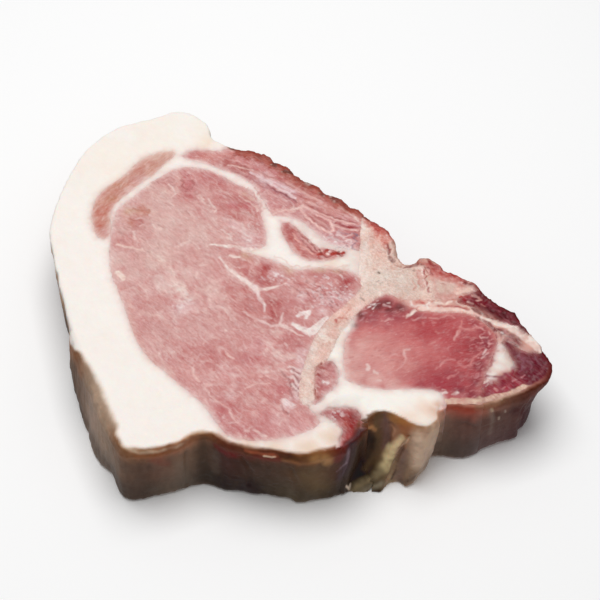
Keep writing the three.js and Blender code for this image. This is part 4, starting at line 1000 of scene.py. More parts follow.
# Scattered strokes: (colour, strength, count, middle, reach, length, width).
FLECKS = {
    "loin_eye": [
        ("AC6867", 0.27, 420, (-18, -10), (24, 27), 2.2, 0.5),
        ("E6C8C1", 0.42, 520, (-18, -12), (23, 27), 1.4, 0.35),
        ("E3BDB8", 0.50, 220, (-16, -44), (13, 12), 2.0, 0.45),
        ("E0BDB7", 0.40, 110, (-26, -22), (20, 22), 5.5, 0.35),
        # these four are painted glints and the dark flecks between them
        ("E9D9D9", 0.75, 80, (13, -10), (5, 3.4), 1.1, 0.5),
        ("8E4D50", 0.60, 70, (12, -9), (6, 4), 1.1, 0.5),
        ("E9D6D6", 0.60, 30, (-3, -3), (3, 2), 1.3, 0.5),
        ("E6CFCA", 0.60, 40, (-13, 12), (3, 5), 1.3, 0.45),
        ("9C5F5E", 0.40, 40, (-36, 33), (6, 7), 1.6, 0.45),
        ("A8746C", 0.40, 60, (-50, 18), (4, 7), 1.4, 0.45),
    ],
    "back_muscle": [
        ("AE6764", 0.45, 160, (-2, 34), (16, 12), 3.2, 0.45),
        ("E0B9B4", 0.50, 200, (0, 30), (16, 12), 2.6, 0.4),
        # painted glints and the dark flecks between them
        ("E3CBCE", 0.60, 50, (14, 12), (4, 3), 1.6, 0.4),
        ("8C6265", 0.60, 40, (15, 12), (4, 3), 1.2, 0.4),
    ],
    "cap_muscle": [
        ("E0C0B2", 0.45, 110, (-50, 36), (7, 13), 1.8, 0.45),
        ("A8604E", 0.35, 60, (-54, 28), (6, 12), 1.8, 0.5),
    ],
    "pocket_muscle": [("DDACA5", 0.5, 30, (5, 10), (5, 4), 1.4, 0.4), ("8F3B38", 0.5, 26, (6, 9),
                      (6, 3), 1.4, 0.4)],
    "rib_muscle": [("E0B9B3", 0.6, 30, (9.6, -42), (2, 5), 1.1, 0.4), ("9A4B4A", 0.5, 24, (9, -42),
                   (3, 5), 1.2, 0.4)],
    # the first flecks are painted wet highlights
    "flank_muscle": [("D09C9C", 0.6, 24, (12.4, -54), (2.4, 2), 0.9, 0.35), ("7C3234", 0.5, 20, (16, -56),
                     (3, 3), 1.2, 0.4)],
    "tenderloin": [
        ("A34C50", 0.35, 200, (42, -30), (12, 9), 1.0, 0.5),
        ("D2918D", 0.45, 240, (38, -30), (14, 9), 0.8, 0.35),
        ("DDA7A3", 0.4, 60, (40, -30), (13, 9), 0.6, 0.4),
        ("D9A5A2", 0.6, 60, (27, -17), (5, 4), 0.5, 0.4),
        ("D89C9A", 0.7, 70, (57, -27), (2.2, 5), 0.6, 0.35),
        ("CB8A8A", 0.6, 90, (54, -38), (3.4, 7), 0.9, 0.35),
        ("7C2C36", 0.4, 60, (55, -35), (3, 8), 1.0, 0.4),
        ("EAD3CD", 0.7, 24, (42, -47), (4, 0.8), 0.7, 0.3),
    ],
    # the first flecks are painted lilac sheen
    "tip_muscle": [("96606C", 0.4, 30, (69, -36), (4, 3), 1.0, 0.35), ("4A1A22", 0.5, 40, (72, -38),
                   (4, 4), 1.4, 0.45)],
    "side_muscle": [("94525A", 0.45, 50, (63, -18), (6, 5), 1.3, 0.3)],
    "bone": [
        ("B9776C", 0.5, 90, (28, 8), (3, 7), 0.6, 0.4),
        ("F3E6DC", 0.5, 120, (26, 0), (7, 9), 1.0, 0.5),
        ("A9958A", 0.5, 46, (27, -4), (7, 6), 0.7, 0.4),
        ("C58A7E", 0.5, 60, (10, -34), (3, 12), 1.4, 0.4),
        ("93403A", 0.6, 20, (27, 17), (2, 2), 0.8, 0.5),
    ],
    "cartilage": [("EFD2C8", 0.5, 40, (49, -8), (4, 3), 1.0, 0.5), ("A85250", 0.4, 40, (47, -1),
                  (5, 3), 1.0, 0.5)],
    "tenderloin_fat": [
        ("B9605C", 0.6, 44, (46, -13.8), (7, 1.2), 1.6, 0.4),
        ("C48C8A", 0.6, 40, (64, -27), (2.4, 1.6), 1.0, 0.4),
    ],
}

# How strongly a tissue is clouded, streaked along its fibres and crossed by pale wisps.
TEXTURE = {
    "loin_eye": (0.34, 0.32, 0.42),
    "back_muscle": (0.30, 0.46, 0.45),
    "cap_muscle": (0.26, 0.22, 0.25),
    "pocket_muscle": (0.35, 0.36, 0.30),
    "rib_muscle": (0.40, 0.30, 0.25),
    "flank_muscle": (0.40, 0.35, 0.20),
    "tenderloin": (0.24, 0.07, 0.04),
    "side_muscle": (0.50, 0.40, 0.00),
    "tip_muscle": (0.40, 0.35, 0.04),
    "bone": (0.40, 0.24, 0.25),
    "cartilage": (0.40, 0.25, 0.20),
    "back_fat": (0.11, 0.04, 0.00),
    "inner_fat": (0.14, 0.06, 0.00),
    "tenderloin_fat": (0.60, 0.45, 0.30),
}
# How much brighter each colour gets where a kind is pale, as powers of e. Where it is deep it gets as much
# darker.
TINGE = {
    "muscle": (0.22, 0.62, 0.60),
    "fat": (0.05, 0.12, 0.18),
    "bone": (0.16, 0.30, 0.34),
    "cartilage": (0.16, 0.34, 0.36),
}
WISP = {"muscle": "EBD3CC", "fat": "FAF2EA", "bone": "F2E6DD", "cartilage": "EBD9CE"}
WISP_LAYERS = [(0.8, (9, 1.9, 1), 50), (1.0, (4.5, 1.1, 1), 51), (0.6, (2.2, 0.7, 1), 52)]
WISP_BALANCE = np.array([0.01, 0.08, 0.075])  # taken off muscle's colours, as wisps and flecks add as much
GLINTS = {  # painted glints of light, where wet crumbs of fat and membrane lie
    "loin_eye": [(14, -9.6, 4), (9, -12, 3), (1.4, -43, 2.4), (-4, -3, 2.4), (-12, 11, 2.4),
                 (-33, -13, 3), (-0.6, -51, 2)],
    "back_muscle": [(13, 12.4, 3), (17.6, 10.6, 3), (19, 14, 2)],
    "pocket_muscle": [(13, 7, 3)],
    "tenderloin": [(23.6, -15, 2)],
    "rib_muscle": [(9.6, -44, 2)],
    "flank_muscle": [(13, -54.4, 2)],
    "tenderloin_fat": [(60.6, -25.6, 2)],
}
CALM = {  # where the flesh is smooth
    "loin_eye": [(-36, 15, 12), (-43, 28, 6), (-39, -23, 8), (-46, 2, 6)],
    "tenderloin": [(28, -32, 10), (22, -38, 6)],
    "cap_muscle": [(-60, 22, 5)],
    "bone": [(22.2, 20, 2.4), (22.4, 14, 2.6), (22.2, 8, 2.6), (22, 2, 2.6), (21.4, -4, 2)],
}
RAGGED = 1.4  # how far the borders of a tissue's areas wander
BENT = 1.2  # and its fibres
WOBBLE = 0.4  # and its veins
SIDE_BENT = 0.35  # and the marks of the side
CALMED = 0.75  # how much less texture smooth flesh has
BLEED_REACH, BLEED_BLUR = 3.0, 0.55  # how far colours run over a border, and how fast they fade there
# The juice that tints one kind beside another: its strength and reach.
JUICE = {("fat", "muscle"): (0.16, 3.0), ("muscle", "fat"): (0.14, 2.2)}


def base_colour(name, points):
    """The tissue's cut face before its veins and flecks."""
    base, areas = FACES[name]
    ragged = points[:, :2] + RAGGED * drift(level(points), 3, (21, 22))
    colour = np.tile(lit_face(base, name), (len(points), 1))
    for code, strength, spots in areas:
        colour = mixed(colour, lit_face(code, name), strength * spot_weight(ragged, spots))
    return colour


def bled_colour(skin):
    """The base colour, blurred over the border with each neighbour."""
    colour = base_colour(skin.name, skin.plain)
    for other in NODES:
        away = -sample(INSIDE[other], skin.plain)
        near = np.flatnonzero(away < BLEED_REACH)
        if other == skin.name or len(near) == 0:
            continue
        place, away = skin.plain[near], away[near]
        soft = BLEED_BLUR * (1 + 0.6 * noise(level(place), 1.2, 23))
        weight = 0.5 * np.exp(-np.maximum(away, 0) / soft)
        strength, reach = JUICE.get((kind(skin.name), kind(other)), (0, 1))
        weight += strength * smooth(reach, 0, away)
        colour[near] = mixed(colour[near], base_colour(other, place), np.minimum(weight, 0.5))
    return colour


def scattered(count, middle, reach, length, width, degrees):
    """Short strokes spread over an oval, most of them along one direction."""
    places = np.array(middle) + np.array(reach) * np.clip(random.normal(size=(count, 2)), -2.2, 2.2)
    angles = np.radians(degrees + random.normal(size=count) * 17)
    halves = length / 2 * random.uniform(0.4, 1.4, count)
    widths = width * random.uniform(0.7, 1.3, count)
    crowded = noise(np.column_stack([places, np.zeros(count)]), 7, 27) > random.uniform(-0.9, 0.5, count)
    for place, angle, half, wide in zip(places[crowded], angles[crowded], halves[crowded], widths[crowded]):
        run = np.array([math.cos(angle), math.sin(angle)]) * half
        bend = np.array([-run[1], run[0]]) * random.uniform(-0.25, 0.25)
        yield [place - run, place + bend, place + run], wide


def shaded(colour, name, shade):
    """The colour made paler where shade is above 0 and deeper where it is below."""
    return np.clip(colour * np.exp(shade[:, None] * np.array(TINGE[kind(name)])), 0.002, 0.97)


def textured(skin, points, colour):
    """The colour with soft clouds, streaks along the fibres and pale wisps, and with painted glints on
    wet crumbs and painted shade between them.
    """
    clouds, streaks, wisps = TEXTURE[skin.name]
    flat = level(points)
    lively = 1 - CALMED * np.minimum(spot_weight(points, CALM.get(skin.name, ())), 1)
    bent = flat.copy()
    bent[:, :2] += BENT * drift(flat, 5, (41, 42))
    grain = turned(bent, fibre_angle(skin.name))
    cloud = noise(bent, 5.5, 43) + layered(grain, (0.8, (4.2, 2.2, 1), 44), (0.5, (2, 1.2, 1), 45))
    streak = layered(grain, (1, (5, 0.95, 1), 46), (0.9, (2.2, 0.6, 1), 47)) + 0.5 * noise(flat, 0.6, 48)
    crowd = 0.35 + 0.65 * smooth(-0.35, 0.45, noise(flat, 8, 49))
    colour = shaded(colour, skin.name, lively * (clouds * cloud + streaks * crowd * streak))

    pale = lit_face(WISP[kind(skin.name)], skin.name)
    for share, size, seed in WISP_LAYERS:
        line = smooth(0.16, 0.0, np.abs(noise(grain, size, seed)))
        line *= smooth(-0.1, 0.6, noise(flat, 4, seed + 4))  # so that a wisp ends somewhere
        colour = mixed(colour, pale, wisps * share * lively * line)
    if kind(skin.name) == "muscle":
        colour = colour * (1 - lively[:, None] * WISP_BALANCE)

    # painted glints on wet crumbs, with painted shade between them
    crumbs = noise(grain, (1.3, 0.8, 1), 60) + 0.7 * noise(flat, 0.7, 61)
    glint = np.minimum(0.08 * lively + spot_weight(points, GLINTS.get(skin.name, ())), 1)
    colour = mixed(colour, lit_face("F1E4E2"), 0.75 * glint * smooth(0.3, 0.75, crumbs))
    return shaded(colour, skin.name, -0.7 * glint * smooth(0.1, 0.6, -crumbs))


def paint_face(skin):
    """Bands, texture, flecks and veins over the blurred base colour of the cut face."""
    name = skin.name
    colour = bled_colour(skin)
    shown = np.flatnonzero(np.abs(skin.normals[:, 2]) > 0.25)
    place = level(skin.plain[shown])
    wobble = drift(place, 1.3, (24, 25))
    spots = skin.plain[shown, :2] + WOBBLE * wobble
    patch = colour[shown]
    for code, strength, width, line in BANDS.get(name, ()):
        soft = stroke_weight(spots + wobble, line, width, width, 0.45 * width)
        patch = mixed(patch, lit_face(code, name), strength * soft * (0.85 + 0.3 * noise(place, 1.6, 28)))
    patch = textured(skin, skin.plain[shown], patch)
    for code, strength, count, middle, reach, length, width in FLECKS.get(name, ()):
        weight = np.zeros(len(shown))
        for line, wide in scattered(count, middle, reach, length, width, fibre_angle(name)):
            stroke = random.uniform(0.5, 1) * stroke_weight(spots, line, wide, 0.2, 0.25)
            weight = np.maximum(weight, stroke)
        patch = mixed(patch, lit_face(code, name), strength * weight)
    broken = 0.85 + layered(place, (0.35, 0.9, 26), (0.3, 3, 29))
    for code, strength, start, end, line in VEINS.get(name, ()):
        weight = stroke_weight(spots, line, start, end, 0.32)
        patch = mixed(patch, lit_face(code, name), np.clip(strength * weight * broken, 0, 1))
    colour[shown] = patch
    return colour


# ---------------------------------------------------------------- colours of the side
# The side along the chop's edge: (x, y, how far it comes in over the rounded rim, how soft its border is, and
# the colours of that border, of the rim, half way down and at the foot, where painted shade darkens it).
SIDES = [
    (-28, 60, -1.5, 0.8, "C9B29C", "B9A088", "8A705C", "5F4B3E"),
    (-42, 68, -1.5, 0.8, "C9B29C", "BBA28A", "8A705C", "5F4B3E"),
    (-62, 58, -1.5, 0.8, "C9B29C", "AE957E", "84695A", "5A463A"),
    (-75, 30, -1.5, 0.8, "C9B29C", "A88F78", "7E6455", "54413A"),
    (-73, 5, -2.0, 0.8, "C9B29C", "9A7E64", "70574A", "4C3A33"),
    (-68, -14, -3.5, 1.0, "B9A088", "8E6C52", "63503F", "4A3A33"),
    (-65, -27, -2.5, 1.0, "AC8C74", "7C543E", "55402F", "443830"),
    (-62, -34, 1.8, 1.2, "BFA48E", "765440", "533F33", "46382F"),
    (-60, -39, 3.0, 1.4, "C6AD99", "98806E", "6C574A", "4E4038"),
    (-56, -47, 3.6, 1.4, "CDB9A6", "A58D7A", "857063", "6A5B51"),
    (-52, -56, 3.2, 1.3, "C6AE99", "9C8370", "7E695A", "665A52"),
    (-48, -64, 1.8, 1.2, "BC9878", "87654F", "6A5649", "473D37"),
    (-44, -68, 1.0, 1.0, "A8866A", "7E5840", "4C3A31", "3C312B"),
    (-36, -67, 0.9, 0.9, "A87A5C", "744834", "564036", "4A3E35"),
    (-30, -65, 0.9, 0.9, "C69A7C", "8C6350", "685244", "4E433B"),
    (-24.5, -61.5, 0.9, 0.9, "C09A78", "77523B", "4A3A30", "362D27"),
    (-18.5, -64, 0.9, 0.9, "A67C6C", "60342B", "3F2926", "2C2420"),
    (-12, -66, 0.9, 0.9, "A37B62", "5E3A2C", "3A2922", "2A201B"),
    (-6, -67, 0.8, 0.9, "8E5C48", "5A362D", "3F3028", "30271F"),
    (1, -69, 0.8, 0.9, "84553A", "543829", "473529", "463C31"),
    (8, -68.4, 1.2, 0.9, "B98A62", "7C5438", "574332", "3E342A"),
    (14, -66, 1.0, 0.9, "8A3E38", "622C28", "402823", "342A24"),
    (18.5, -61, 1.0, 0.8, "7E3A34", "50302A", "362825", "2E2520"),
    (24, -55.4, 1.2, 0.6, "86644C", "6A4A38", "483529", "4E3B2C"),
    (29, -55, 0.6, 0.6, "B88C6A", "82583F", "745444", "94805E"),
    (33, -57.6, 0.6, 0.6, "B98660", "85573D", "7C5A45", "78604E"),
    (38, -58.6, 0.6, 0.6, "C39A7A", "AC8A74", "B09682", "86705F"),
    (42, -56.6, 0.4, 0.6, "D5AE94", "B99A84", "8E7868", "5E4C42"),
    (44, -51.6, 0.2, 0.5, "B06C5C", "7E3C32", "5A3E36", "42362F"),
    (50, -52, 0.2, 0.5, "C48472", "8C463A", "563E38", "504440"),
    (57, -50.8, 0.3, 0.5, "C79A84", "7E564A", "58433D", "524240"),
    (62, -48.8, 0.6, 0.5, "CFB09A", "745246", "54403C", "4E3D3B"),
    (66.6, -47, 2.0, 0.5, "A87868", "523834", "4C3633", "463434"),
    (70, -46, 0.6, 0.6, "C08478", "6A443B", "4A3231", "3C292A"),
    (75, -41, -0.4, 0.6, "8E5450", "54302F", "402A2A", "362526"),
    (77, -35, -1.0, 0.6, "703A3E", "4A282A", "3A2626", "322223"),
    (72, -26, -0.6, 0.6, "6A3438", "4A2628", "3C2224", "2E1C1E"),
    (62, -14, 0.1, 0.6, "64302F", "54292A", "4A2C2A", "3A2824"),
    (52, -2, 0.2, 0.6, "9A4A44", "6E3A34", "5A3430", "3A2824"),
    (38, 4, 0.2, 0.6, "B08072", "8A5448", "6C4038", "4C342E"),
    (32, 8, -0.2, 0.6, "CDB0A4", "B08A7C", "7C4E44", "463030"),
    (30, 16, 0.6, 0.6, "B85C56", "94463E", "6C3A36", "463030"),
    (20, 26, 0.7, 0.6, "8A4A40", "6E3C36", "583630", "402C28"),
    (4, 41, 0.7, 0.6, "6E463C", "5A3A34", "4A342E", "3A2C28"),
    (-12, 51, 0.7, 0.6, "74483C", "60403A", "523A34", "402E2A"),
]
SIDE_REACH = 4.6  # how far one of these places holds

# Stains on the side, and folds drawn with painted shade and painted highlights: (colour, strength, width at
# the start and at the end, blur, points of x, y and z).
SIDE_MARKS = [
    # brown patch where the rind comes in sight
    ("7A5540", 0.6, 4.0, 3.0, 2.0, [(-65, -30, 20), (-61, -38, 20)]),
    ("4A3428", 0.5, 3.0, 3.0, 2.0, [(-67, -24, 12), (-64, -34, 8), (-60, -44, 4)]),
    ("4A3C34", 0.5, 3.0, 5.0, 2.0, [(-62, -46, 5), (-53, -60, 3), (-46, -68, 3)]),
    ("CFB49A", 0.7, 0.8, 0.8, 0.7, [(-47, -65, 22.4), (-42, -67.6, 22), (-34, -66.4, 22),
                                    (-29, -64.2, 21.8)]),
    ("84543A", 0.6, 1.4, 1.4, 0.9, [(-43, -68, 20.6), (-37, -67.2, 20.6), (-31, -65.6, 20.4),
                                    (-27, -62.4, 20.8)]),
    ("6A3A30", 0.5, 3.0, 2.4, 1.6, [(-38, -67, 18.4), (-35, -67, 16)]),
    ("5C5046", 0.5, 2.4, 3.0, 1.6, [(-31, -65.6, 14), (-30, -65.8, 4)]),
    ("332A24", 0.45, 1.8, 3.4, 1.8, [(-24.8, -61.4, 20), (-25.4, -63.4, 10), (-25.6, -65, 0)]),  # painted shade in the dent
    ("564A42", 0.5, 2.2, 2.2, 1.4, [(-21.4, -62.6, 15), (-21.6, -64, 8)]),
    # dark red stains
    ("5A1E1E", 0.8, 2.2, 2.6, 1.2, [(-21, -63, 18.8), (-18.4, -64.4, 17.4), (-16, -65.4, 18)]),
    ("4A201E", 0.6, 1.8, 1.2, 1.0, [(-14, -66, 18.6), (-10.6, -66.8, 18.8)]),
    ("5E2A24", 0.7, 1.6, 1.8, 1.0, [(-9.6, -67, 20.2), (-6.6, -67.4, 19.4), (-3.4, -68, 19.8)]),
    ("9A5640", 0.7, 0.8, 1.0, 0.6, [(-12.6, -66, 21.6), (-8, -67, 21.2), (-4, -67.8, 21)]),
    ("E0C0A4", 0.8, 0.5, 0.4, 0.3, [(-7.4, -67.2, 20.6), (-5.4, -67.6, 20.2), (-4.4, -67.8, 20.6)]),
    ("7A5034", 0.6, 1.0, 1.4, 0.9, [(-2, -68.4, 20), (3, -69, 19.6), (7, -68.6, 19.2)]),
    ("5C4A34", 0.5, 4.0, 6.0, 3.0, [(4, -69, 14), (8, -68.4, 7)]),
    ("AC8054", 0.6, 2.2, 2.0, 1.6, [(6.6, -68.4, 20.8), (9.6, -67.6, 20.4), (10.4, -67.6, 18)]),
    # flank muscle
    ("7A3A34", 0.9, 2.6, 2.6, 1.0, [(13.1, -64.3, 22), (14.5, -63.9, 21.9), (16.4, -63.7, 22.1)]),
    ("5A2A28", 0.9, 2.6, 2.6, 1.2, [(13.7, -65.9, 20.3), (13.1, -66.9, 17.9)]),
    # painted shade along the groove
    ("44363A", 0.9, 4.0, 5.0, 1.6, [(17, -64.4, 20.6), (16.5, -64.9, 17.4), (16.1, -65.2, 12.9),
                                    (15.3, -65.9, 8.8)]),
    ("3C322C", 0.9, 5.0, 4.0, 2.0, [(18.4, -61, 17), (17.4, -63, 9), (14.5, -66.5, 4.5)]),  # painted shade in the valley
    # membrane in it
    ("6E5A60", 0.8, 1.0, 0.7, 0.5, [(15.9, -65.3, 20.5), (16, -65.4, 17.1), (15.5, -65.7, 14.6)]),
    ("6E5A60", 0.8, 0.8, 0.6, 0.4, [(15.5, -65.7, 14.6), (14.3, -66.4, 13.6), (13, -67.1, 12.2)]),
    ("664E48", 0.9, 3.2, 3.2, 1.6, [(26.9, -54.1, 21.5), (27, -55.2, 18.3), (27.1, -56.3, 14.9),
                                    (27.1, -57.9, 12.1)]),
    ("5E4A38", 0.9, 2.6, 2.2, 1.2, [(24.6, -54.4, 21), (24.1, -55.1, 18.1), (24.8, -55.6, 15.4),
                                    (24.6, -56.8, 13.1)]),
    ("584636", 0.9, 2.2, 1.6, 1.2, [(24.6, -56.8, 13.1), (23.8, -58.3, 10.2), (22.7, -60, 7.6),
                                    (21.2, -61.6, 5.8)]),
    ("3C302C", 0.8, 1.4, 2.8, 1.3, [(21.3, -57.1, 16.4), (22.5, -57, 13.3)]),  # painted shade in the lens-shaped hollow
    ("3C302C", 0.8, 2.8, 1.2, 1.3, [(22.5, -57, 13.3), (22.9, -57.9, 11.1), (22.1, -59.1, 8.8)]),
    ("9A704E", 0.8, 0.9, 0.7, 0.7, [(21.1, -57.9, 20.1), (22.7, -55.8, 18.1), (23.9, -55.4, 16.6)]),
    ("94683F", 0.7, 2.0, 2.4, 1.2, [(28.3, -54.6, 21.7), (29.9, -55.7, 21.3), (31.3, -56.3, 21.8)]),
    ("9A663F", 0.7, 2.2, 1.4, 1.2, [(31.3, -56.3, 21.6), (32.9, -57.2, 21.6), (34.9, -57.9, 21.4),
                                    (36.5, -58.4, 21.4)]),
    ("C9996B", 0.8, 0.7, 0.7, 0.5, [(29.4, -54.1, 22.5), (31.3, -54.9, 22.7), (33.5, -55.6, 22.7),
                                    (37.9, -57.8, 22.4)]),
    ("8A5A40", 0.9, 2.2, 3.0, 1.2, [(31.3, -57.4, 19.8), (33, -58.3, 20.1), (32, -58.5, 17.4)]),
    ("8E6650", 0.8, 2.4, 2.0, 1.0, [(29.2, -56.2, 18.7), (29.8, -57, 17.3), (29.3, -57.5, 15),
                                    (30.4, -58.5, 14.5)]),
    ("AA8068", 0.5, 0.6, 0.6, 0.5, [(28.6, -56, 18.4), (29.6, -56.6, 17.6), (28.8, -57, 15.8)]),
    # olive fold, its pale ridge partly painted highlight
    ("D8BC94", 0.9, 1.2, 2.2, 1.2, [(31.4, -58.4, 16.4), (30, -58.6, 13.6), (28.6, -59.1, 11.3)]),
    ("CCB88C", 0.9, 2.2, 3.0, 1.4, [(28.6, -59.1, 11.3), (28, -59.8, 9.4), (27.5, -60.7, 7.7),
                                    (26.7, -61.6, 6.4)]),
    ("86765C", 0.9, 2.8, 2.4, 1.4, [(25.5, -62.5, 5.1), (23.3, -63.2, 3.1), (20.4, -64.5, 2.5),
                                    (18.7, -65.5, 1.3)]),
    ("7E7260", 0.9, 1.6, 1.6, 1.0, [(20.4, -66.1, 0.7), (23.3, -65.5, 1.4), (26.2, -64.8, 2.4)]),
    # painted highlight on the lobe
    ("C0A48E", 0.7, 2.4, 3.0, 2.4, [(35.8, -59.6, 19.1), (36.2, -60.7, 15.7), (36.4, -61.5, 12.4),
                                    (36.3, -62.1, 9.2)]),
    ("6E5850", 0.9, 2.0, 3.0, 1.4, [(32.5, -60.3, 12.1), (31.8, -60.7, 8.7), (31.3, -61.9, 5.3),
                                    (30.9, -62.6, 2.1)]),
    ("5A4A40", 0.9, 1.6, 1.8, 1.0, [(31.5, -63.5, 0.9), (33.7, -64.2, 2.5), (35.7, -63.2, 3.6)]),
    # crease, with painted shade in it
    ("463630", 0.8, 0.5, 0.6, 0.4, [(32.6, -59.5, 13.6), (31.2, -60, 9.6), (30.2, -61, 6), (28.8, -63, 2)]),
    ("C0A088", 0.85, 0.4, 0.5, 0.3, [(33.4, -59.2, 17.5), (32.4, -59.3, 15.2), (31.3, -59.3, 13.2),
                                     (30.5, -59.7, 11.3)]),
    ("AC8E7A", 0.8, 0.5, 0.4, 0.3, [(30.5, -59.7, 11.3), (29.8, -60.2, 8.9), (29.3, -61.1, 7.2),
                                    (28.7, -62.2, 5.7)]),
    ("8A7060", 0.7, 0.4, 0.4, 0.3, [(28.7, -62.2, 5.7), (27.9, -63.5, 4), (27.6, -63.9, 2.1)]),
    ("C9A98F", 0.7, 0.8, 1.0, 0.9, [(39.7, -57.9, 22), (39.5, -59.1, 19.8), (38.7, -59.9, 17.5),
                                    (38.4, -60.6, 13.6)]),
    ("9A8272", 0.6, 1.0, 1.0, 1.2, [(38.4, -60.6, 13.6), (38.3, -60.9, 9.9), (38, -61, 5.5)]),
    # crumbs at its foot
    ("D0BCA8", 0.8, 0.7, 0.6, 0.4, [(15.7, -66, 3.2), (16.6, -65.5, 1.4), (16.9, -64.8, 2.4)]),
    # red under the lip
    ("8E4034", 0.6, 1.0, 1.4, 1.6, [(43.6, -51.4, 21.4), (47.4, -51.8, 21), (51.4, -52, 20.6)]),
    ("8E6A54", 0.6, 1.0, 1.0, 1.0, [(52.6, -51.4, 21.6), (57, -50.6, 21.4), (60.4, -49, 21.6)]),
    ("7A6C64", 0.4, 0.8, 1.4, 0.8, [(57, -51.2, 20), (58.4, -51, 14), (58, -51.4, 8)]),
    ("B4A288", 0.7, 0.6, 0.5, 0.4, [(57.3, -51.1, 20.2), (57.6, -51.1, 19)]),
    ("A89484", 0.6, 0.5, 0.5, 0.4, [(59.9, -50.4, 15.4), (60, -50.4, 14.4)]),
    ("A08E84", 0.6, 0.5, 0.5, 0.3, [(61.4, -49.9, 18), (61.5, -49.9, 17)]),
    ("C9B49C", 0.8, 0.4, 0.4, 0.3, [(60, -48.8, 22), (60, -49.4, 20.4)]),
    ("3E2628", 0.7, 3.4, 3.4, 1.6, [(64.4, -48, 16), (68, -46, 12), (70, -43, 6)]),
    ("55332F", 0.6, 2.4, 2.0, 1.4, [(70, -46, 20), (74.6, -42, 19)]),
]

SCAB_MIDDLE = (3, 40)
SCAB_REACH = (24, 10)  # from there: where the last scabs are, and the last thick ones


def side_kinds(points):
    """What SIDES says of each point: the side's reach and blur, and its four colours."""
    weights = np.stack([
        np.exp(-((points[:, 0] - x) ** 2 + (points[:, 1] - y) ** 2) / SIDE_REACH ** 2) for x, y, *_ in SIDES
    ])
    weights += 1e-9
    weights /= weights.sum(axis=0)
    reach, blur = (weights.T @ np.array([row[column] for row in SIDES]) for column in (2, 3))
    colours = [weights.T @ np.array([srgb(row[column]) for row in SIDES]) for column in (4, 5, 6, 7)]
    return reach, blur, colours


def side_seen(points, passed, colours):
    """How the side should look, passed millimetres from its upper border: darker to the foot with painted
    shade, with stains, and with folds drawn in painted shade and highlights.
    """
    border, rim, middle, foot = colours
    wave = layered(points, (1.2, (6, 6, 9), 31), (0.7, (2, 2, 5), 32))
    seen = mixed(border, rim, smooth(-0.6, 1.4, passed + 0.3 * wave))
    seen = mixed(seen, middle, smooth(1, 8, passed + wave))
    # painted shade: darker towards the foot
    seen = mixed(seen, foot, smooth(9, 20, TOP - points[:, 2] + wave))
    blotch = layered(points, (1, (3, 3, 6), 36), (0.8, (1.2, 1.2, 2), 37), (0.5, 0.6, 38))
    streak = layered(points, (1, (1.1, 1.1, 8), 39), (0.7, (0.6, 0.6, 3), 40))
    seen = seen * np.exp(0.12 * blotch + 0.04 * streak)[:, None]
    bent = points + SIDE_BENT * drift(points, (2, 2, 3), (33, 34, 35))
    broken = 0.9 + 0.3 * noise(points, 1.2, 30)
    for code, strength, start, end, blur, line in SIDE_MARKS:
        weight = strength * broken * stroke_weight(bent, line, start, end, blur)
        seen = mixed(seen, srgb(code), np.clip(weight, 0, 1))
    return seen


def scabbed(skin, colour):
    """The dried edge along the spine, browner outwards, with dark scabs and pale dust on them."""
    inward = skin.edge + 0.9 * noise(level(skin.plain), 2.4, 59)
    x, y = (skin.plain[:, :2] - SCAB_MIDDLE).T
    scab = smooth(-0.15, 0.3, noise(skin.plain, (1.7, 1.7, 2), 53)) * smooth(3.0, 1.4, inward)
    scab *= smooth(*SCAB_REACH, np.hypot(x, y))
    dust = smooth(0.2, 0.5, noise(skin.plain, 1.0, 54)) * scab
    torn = torn_edge(skin.plain) * skin.face
    colour = mixed(colour, lit_face("B46A5E"), 0.7 * torn * smooth(4.2, 2.2, inward))
    colour = mixed(colour, lit_face("94483E"), 0.8 * torn * smooth(2.6, 1.0, inward))
    colour = mixed(colour, lit_face("6E453E"), 0.9 * torn * scab)
    return mixed(colour, lit_face("C9ACA2"), 0.7 * torn * dust)


def paint(skin):
    """The tint of every point of a tissue, and how much of the cut face's own grain shows there."""
    cut = paint_face(skin)
    reach, blur, colours = side_kinds(skin.plain)
    passed = reach - skin.edge + skin.drop
    waver = layered(skin.plain, (0.28, 2.6, 57), (0.12, 1.0, 58))
    free = np.maximum(smooth(0.6, 1.6, skin.apart), smooth(1.8, 1.0, skin.edge))
    side = smooth(-blur, 0.6 * blur, passed + waver) * np.maximum(free, smooth(0.5, -0.2, skin.edge - reach))
    side = side * smooth(-0.97, -0.8, skin.normals[:, 2])
    colour = mixed(cut, lit(side_seen(skin.plain, passed + waver, colours), skin.normals[:, 2]), side)
    if skin.name == "back_muscle":
        colour = scabbed(skin, colour)
    return colour, np.clip(skin.face * (1 - side), 0, 1)


# ---------------------------------------------------------------- materials
COAT_ROUGHNESS = 0.22
COLOUR_REACHES = (1.0, 0.45, 0.32)  # how far red, green and blue travel inside, as shares of the scatter
ROUGH_GRAIN, ROUGH_BLOTCH = 0.24, 0.3  # how far grain and blotches spread the roughness
CRUMB_START, CRUMB_FULL = 0.60, 0.72  # of the fibres' noise, where pale crumbs show


